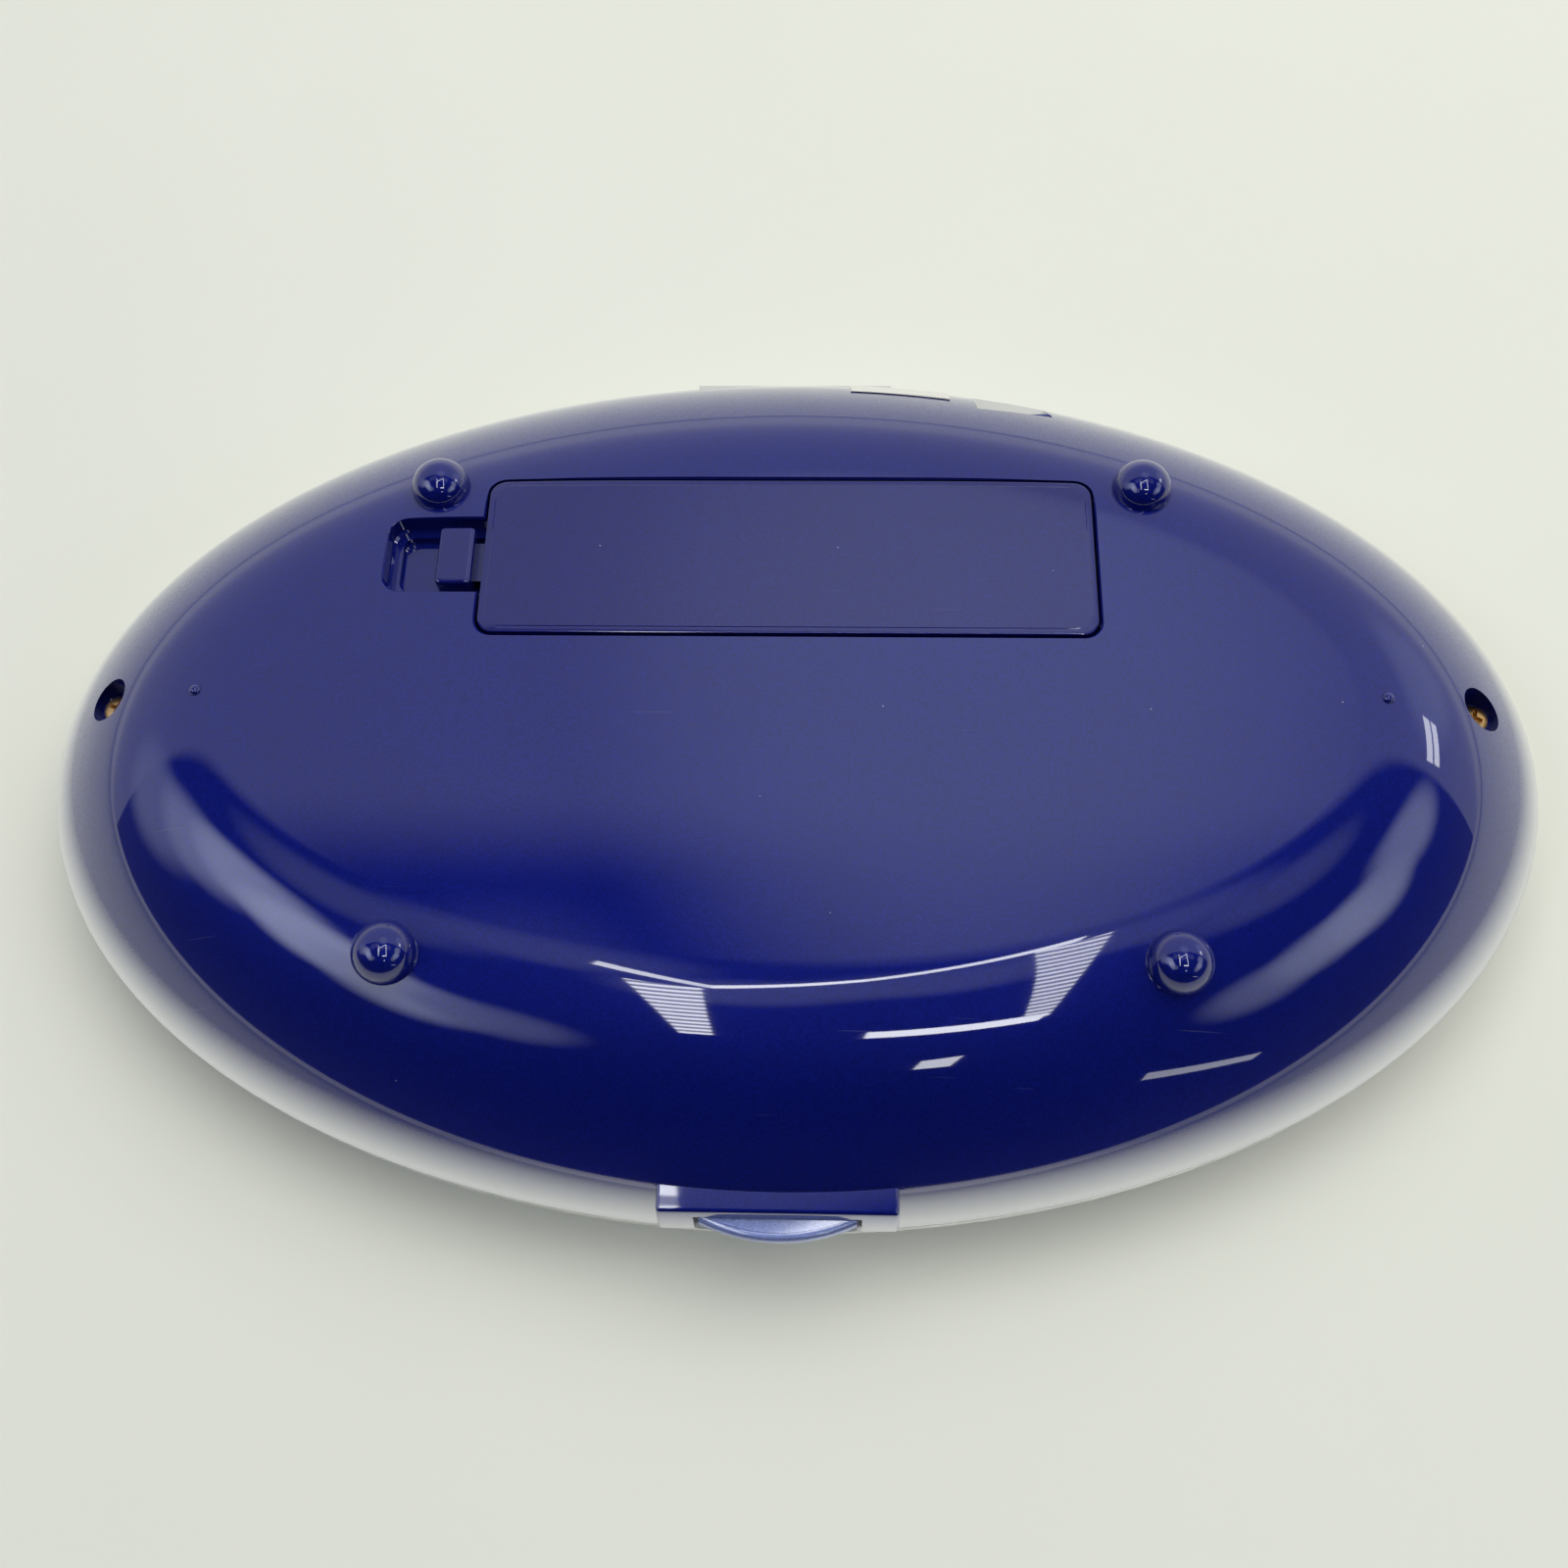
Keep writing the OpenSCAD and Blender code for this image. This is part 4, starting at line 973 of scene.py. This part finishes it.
# soft patches of the room that the lacquer mirrors: direction, inner and outer spread in degrees, tone
for towards, core, reach, tone in (
    ((-0.10, 0.50, -1.0), 2, 16, 0.95),
    ((0.22, 0.17, -1.0), 2, 9, 0.45),
    ((0.06, -0.03, -1.0), 2, 9, 0.5),
    ((-0.10, 0.02, -1.0), 2, 9, 0.5),
    ((-0.26, 0.15, -1.0), 2, 9, 0.45),
    ((0.45, 0.10, -1.0), 2, 11, 0.4),
    ((-0.50, 0.05, -1.0), 2, 11, 0.4),
    ((0.90, 0.04, -0.44), 6, 17, 0.9),
    ((0.78, -0.08, -0.62), 5, 15, 1.5),
    ((0.68, -0.14, -0.72), 5, 13, 2.3),
    ((0.62, -0.32, -0.72), 4, 12, 3.0),
    ((0.53, -0.47, -0.71), 3, 11, 2.0),
    ((0.40, -0.52, -0.76), 1, 9, 0.8),
    ((-0.67, -0.51, -0.54), 2, 10, 1.0),
    ((-0.75, -0.38, -0.53), 3, 11, 1.6),
    ((-0.82, -0.27, -0.51), 4, 12, 1.9),
    ((-0.84, -0.03, -0.54), 4, 13, 1.5),
    ((-0.78, 0.49, -0.39), 5, 16, 0.9),
):
    near = add("VectorMath", operation="DOT_PRODUCT")
    fall = add("MapRange", interpolation_type="SMOOTHSTEP")
    glow = add("Mix", data_type="RGBA")
    link(way.outputs["Generated"], near.inputs[0])
    near.inputs[1].default_value = Vector(towards).normalized()
    ranged(fall, cos(radians(reach)), cos(radians(core)), to_high=0.85)
    link(near.outputs["Value"], fall.inputs["Value"])
    glow.inputs["B"].default_value = (tone * 0.80, tone * 0.87, tone, 1)
    link(fall.outputs["Result"], glow.inputs["Factor"])
    link(room, glow.inputs["A"])
    room = glow.outputs["Result"]
above = add("Math", operation="GREATER_THAN")
above.inputs[1].default_value = -0.02
link(split.outputs["Z"], above.inputs[0])
room_mix = add("Mix", data_type="RGBA")
room_mix.inputs["B"].default_value = (0.70, 0.70, 0.68, 1)
link(above.outputs["Value"], room_mix.inputs["Factor"])
link(room, room_mix.inputs["A"])
link(room_mix.outputs["Result"], sky.inputs["Color"])
sky.inputs["Strength"].default_value = 1.0


def mirrored_strip(name, corners, strength, stripes=0.0):
    """A glowing panel one metre below the scale, seen only in the lacquer's mirror image."""
    clear()
    bpy.ops.mesh.primitive_plane_add(size=2, location=(0, 0, 0))
    obj = bpy.context.object
    obj.name = name
    order = (0, 1, 3, 2)
    for place, corner in zip(order, corners):
        obj.data.vertices[place].co = (corner[0], corner[1], -1.0)
    mat = bpy.data.materials.new(name)
    mat.use_nodes = True
    add, link = group_tools(mat.node_tree)
    light = add("Emission")
    light.inputs["Color"].default_value = (0.95, 0.97, 1.0, 1)
    light.inputs["Strength"].default_value = strength
    if stripes:
        place, wave, level = add("TexCoord"), add("TexWave"), add("MapRange")
        wave.bands_direction = "Y"
        wave.inputs["Scale"].default_value = stripes
        wave.inputs["Distortion"].default_value = 0.6
        ranged(level, 0.35, 0.65, to_low=strength * 0.25, to_high=strength)
        link(place.outputs["Object"], wave.inputs["Vector"])
        link(wave.outputs["Fac"], level.inputs["Value"])
        link(level.outputs["Result"], light.inputs["Strength"])
    link(light.outputs["Emission"], mat.node_tree.nodes["Material Output"].inputs["Surface"])
    dress(obj, mat)
    obj.visible_camera = obj.visible_diffuse = obj.visible_shadow = obj.visible_transmission = False


for name, corners, strength, stripes in (
    ("lamp frame top left", ((0.20, 0.12), (0.10, -0.015), (0.10, -0.045), (0.21, 0.08)), 7.0, 0),
    ("lamp frame top middle", ((0.10, -0.015), (-0.05, 0.055), (-0.05, 0.03), (0.10, -0.045)), 9.0, 0),
    ("lamp frame top right", ((-0.05, 0.055), (-0.24, 0.20), (-0.24, 0.165), (-0.05, 0.03)), 8.0, 0),
    ("lamp frame left end", ((0.19, -0.02), (0.11, -0.05), (0.13, -0.54), (0.18, -0.54)), 9.0, 8),
    ("lamp frame right end", ((-0.20, 0.14), (-0.27, 0.18), (-0.38, -0.55), (-0.33, -0.52)), 7.0, 8),
    ("lamp frame bottom", ((-0.09, -0.50), (-0.37, -0.51), (-0.37, -0.58), (-0.09, -0.57)), 9.0, 0),
    ("lamp switch box", ((-0.23, -0.92), (-0.31, -0.90), (-0.31, -1.04), (-0.23, -1.04)), 6.0, 0),
    ("window pane left", ((-1.70, 0.45), (-1.95, 0.47), (-1.95, 0.85), (-1.70, 0.80)), 5.0, 0),
    ("window pane right", ((-2.02, 0.48), (-2.30, 0.50), (-2.30, 0.92), (-2.02, 0.87)), 5.0, 0),
    ("window blind", ((-1.5, -2.25), (-4.1, -4.1), (-4.2, -4.4), (-1.6, -2.5)), 2.5, 0),
):
    mirrored_strip(name, corners, strength, stripes)


def soft_light(name, place, aim, size, watts, colour=(1, 1, 0.96), glossy=True):
    clear()
    bpy.ops.object.light_add(type="AREA", location=place)
    lamp = bpy.context.object
    lamp.name = name
    lamp.data.shape = "RECTANGLE"
    lamp.data.size, lamp.data.size_y = size
    lamp.data.energy = watts
    lamp.data.color = colour
    lamp.rotation_euler = (Vector(aim) - Vector(place)).to_track_quat("-Z", "Y").to_euler()
    lamp.visible_camera = False
    lamp.visible_glossy = glossy
    return lamp


soft_light("room light below", (-0.35, 0.60, -1.45), (0, 0, 0), (2.2, 1.8), 27, glossy=False)
soft_light("studio light above", (-0.6, -0.9, 1.5), (0, 0, 0), (1.2, 1.0), 15)
soft_light("studio fill above", (1.2, 0.5, 1.3), (0, 0, 0), (1.0, 1.0), 6)

right, up, ahead = (-0.9995, 0.0195, 0.0249), (0.0085, 0.9244, -0.3813), (0.0305, 0.3809, 0.9241)
clear()
bpy.ops.object.camera_add(location=(-0.0082, -0.1135, -0.2373))
camera = bpy.context.object
turn = Matrix((right, up, [-v for v in ahead])).transposed()
camera.rotation_euler = turn.to_euler()
camera.data.lens = 35.0
camera.data.sensor_width = 36.0
camera.data.clip_start = 0.005
bpy.context.scene.camera = camera
bpy.context.scene.view_settings.view_transform = "Standard"

clear()
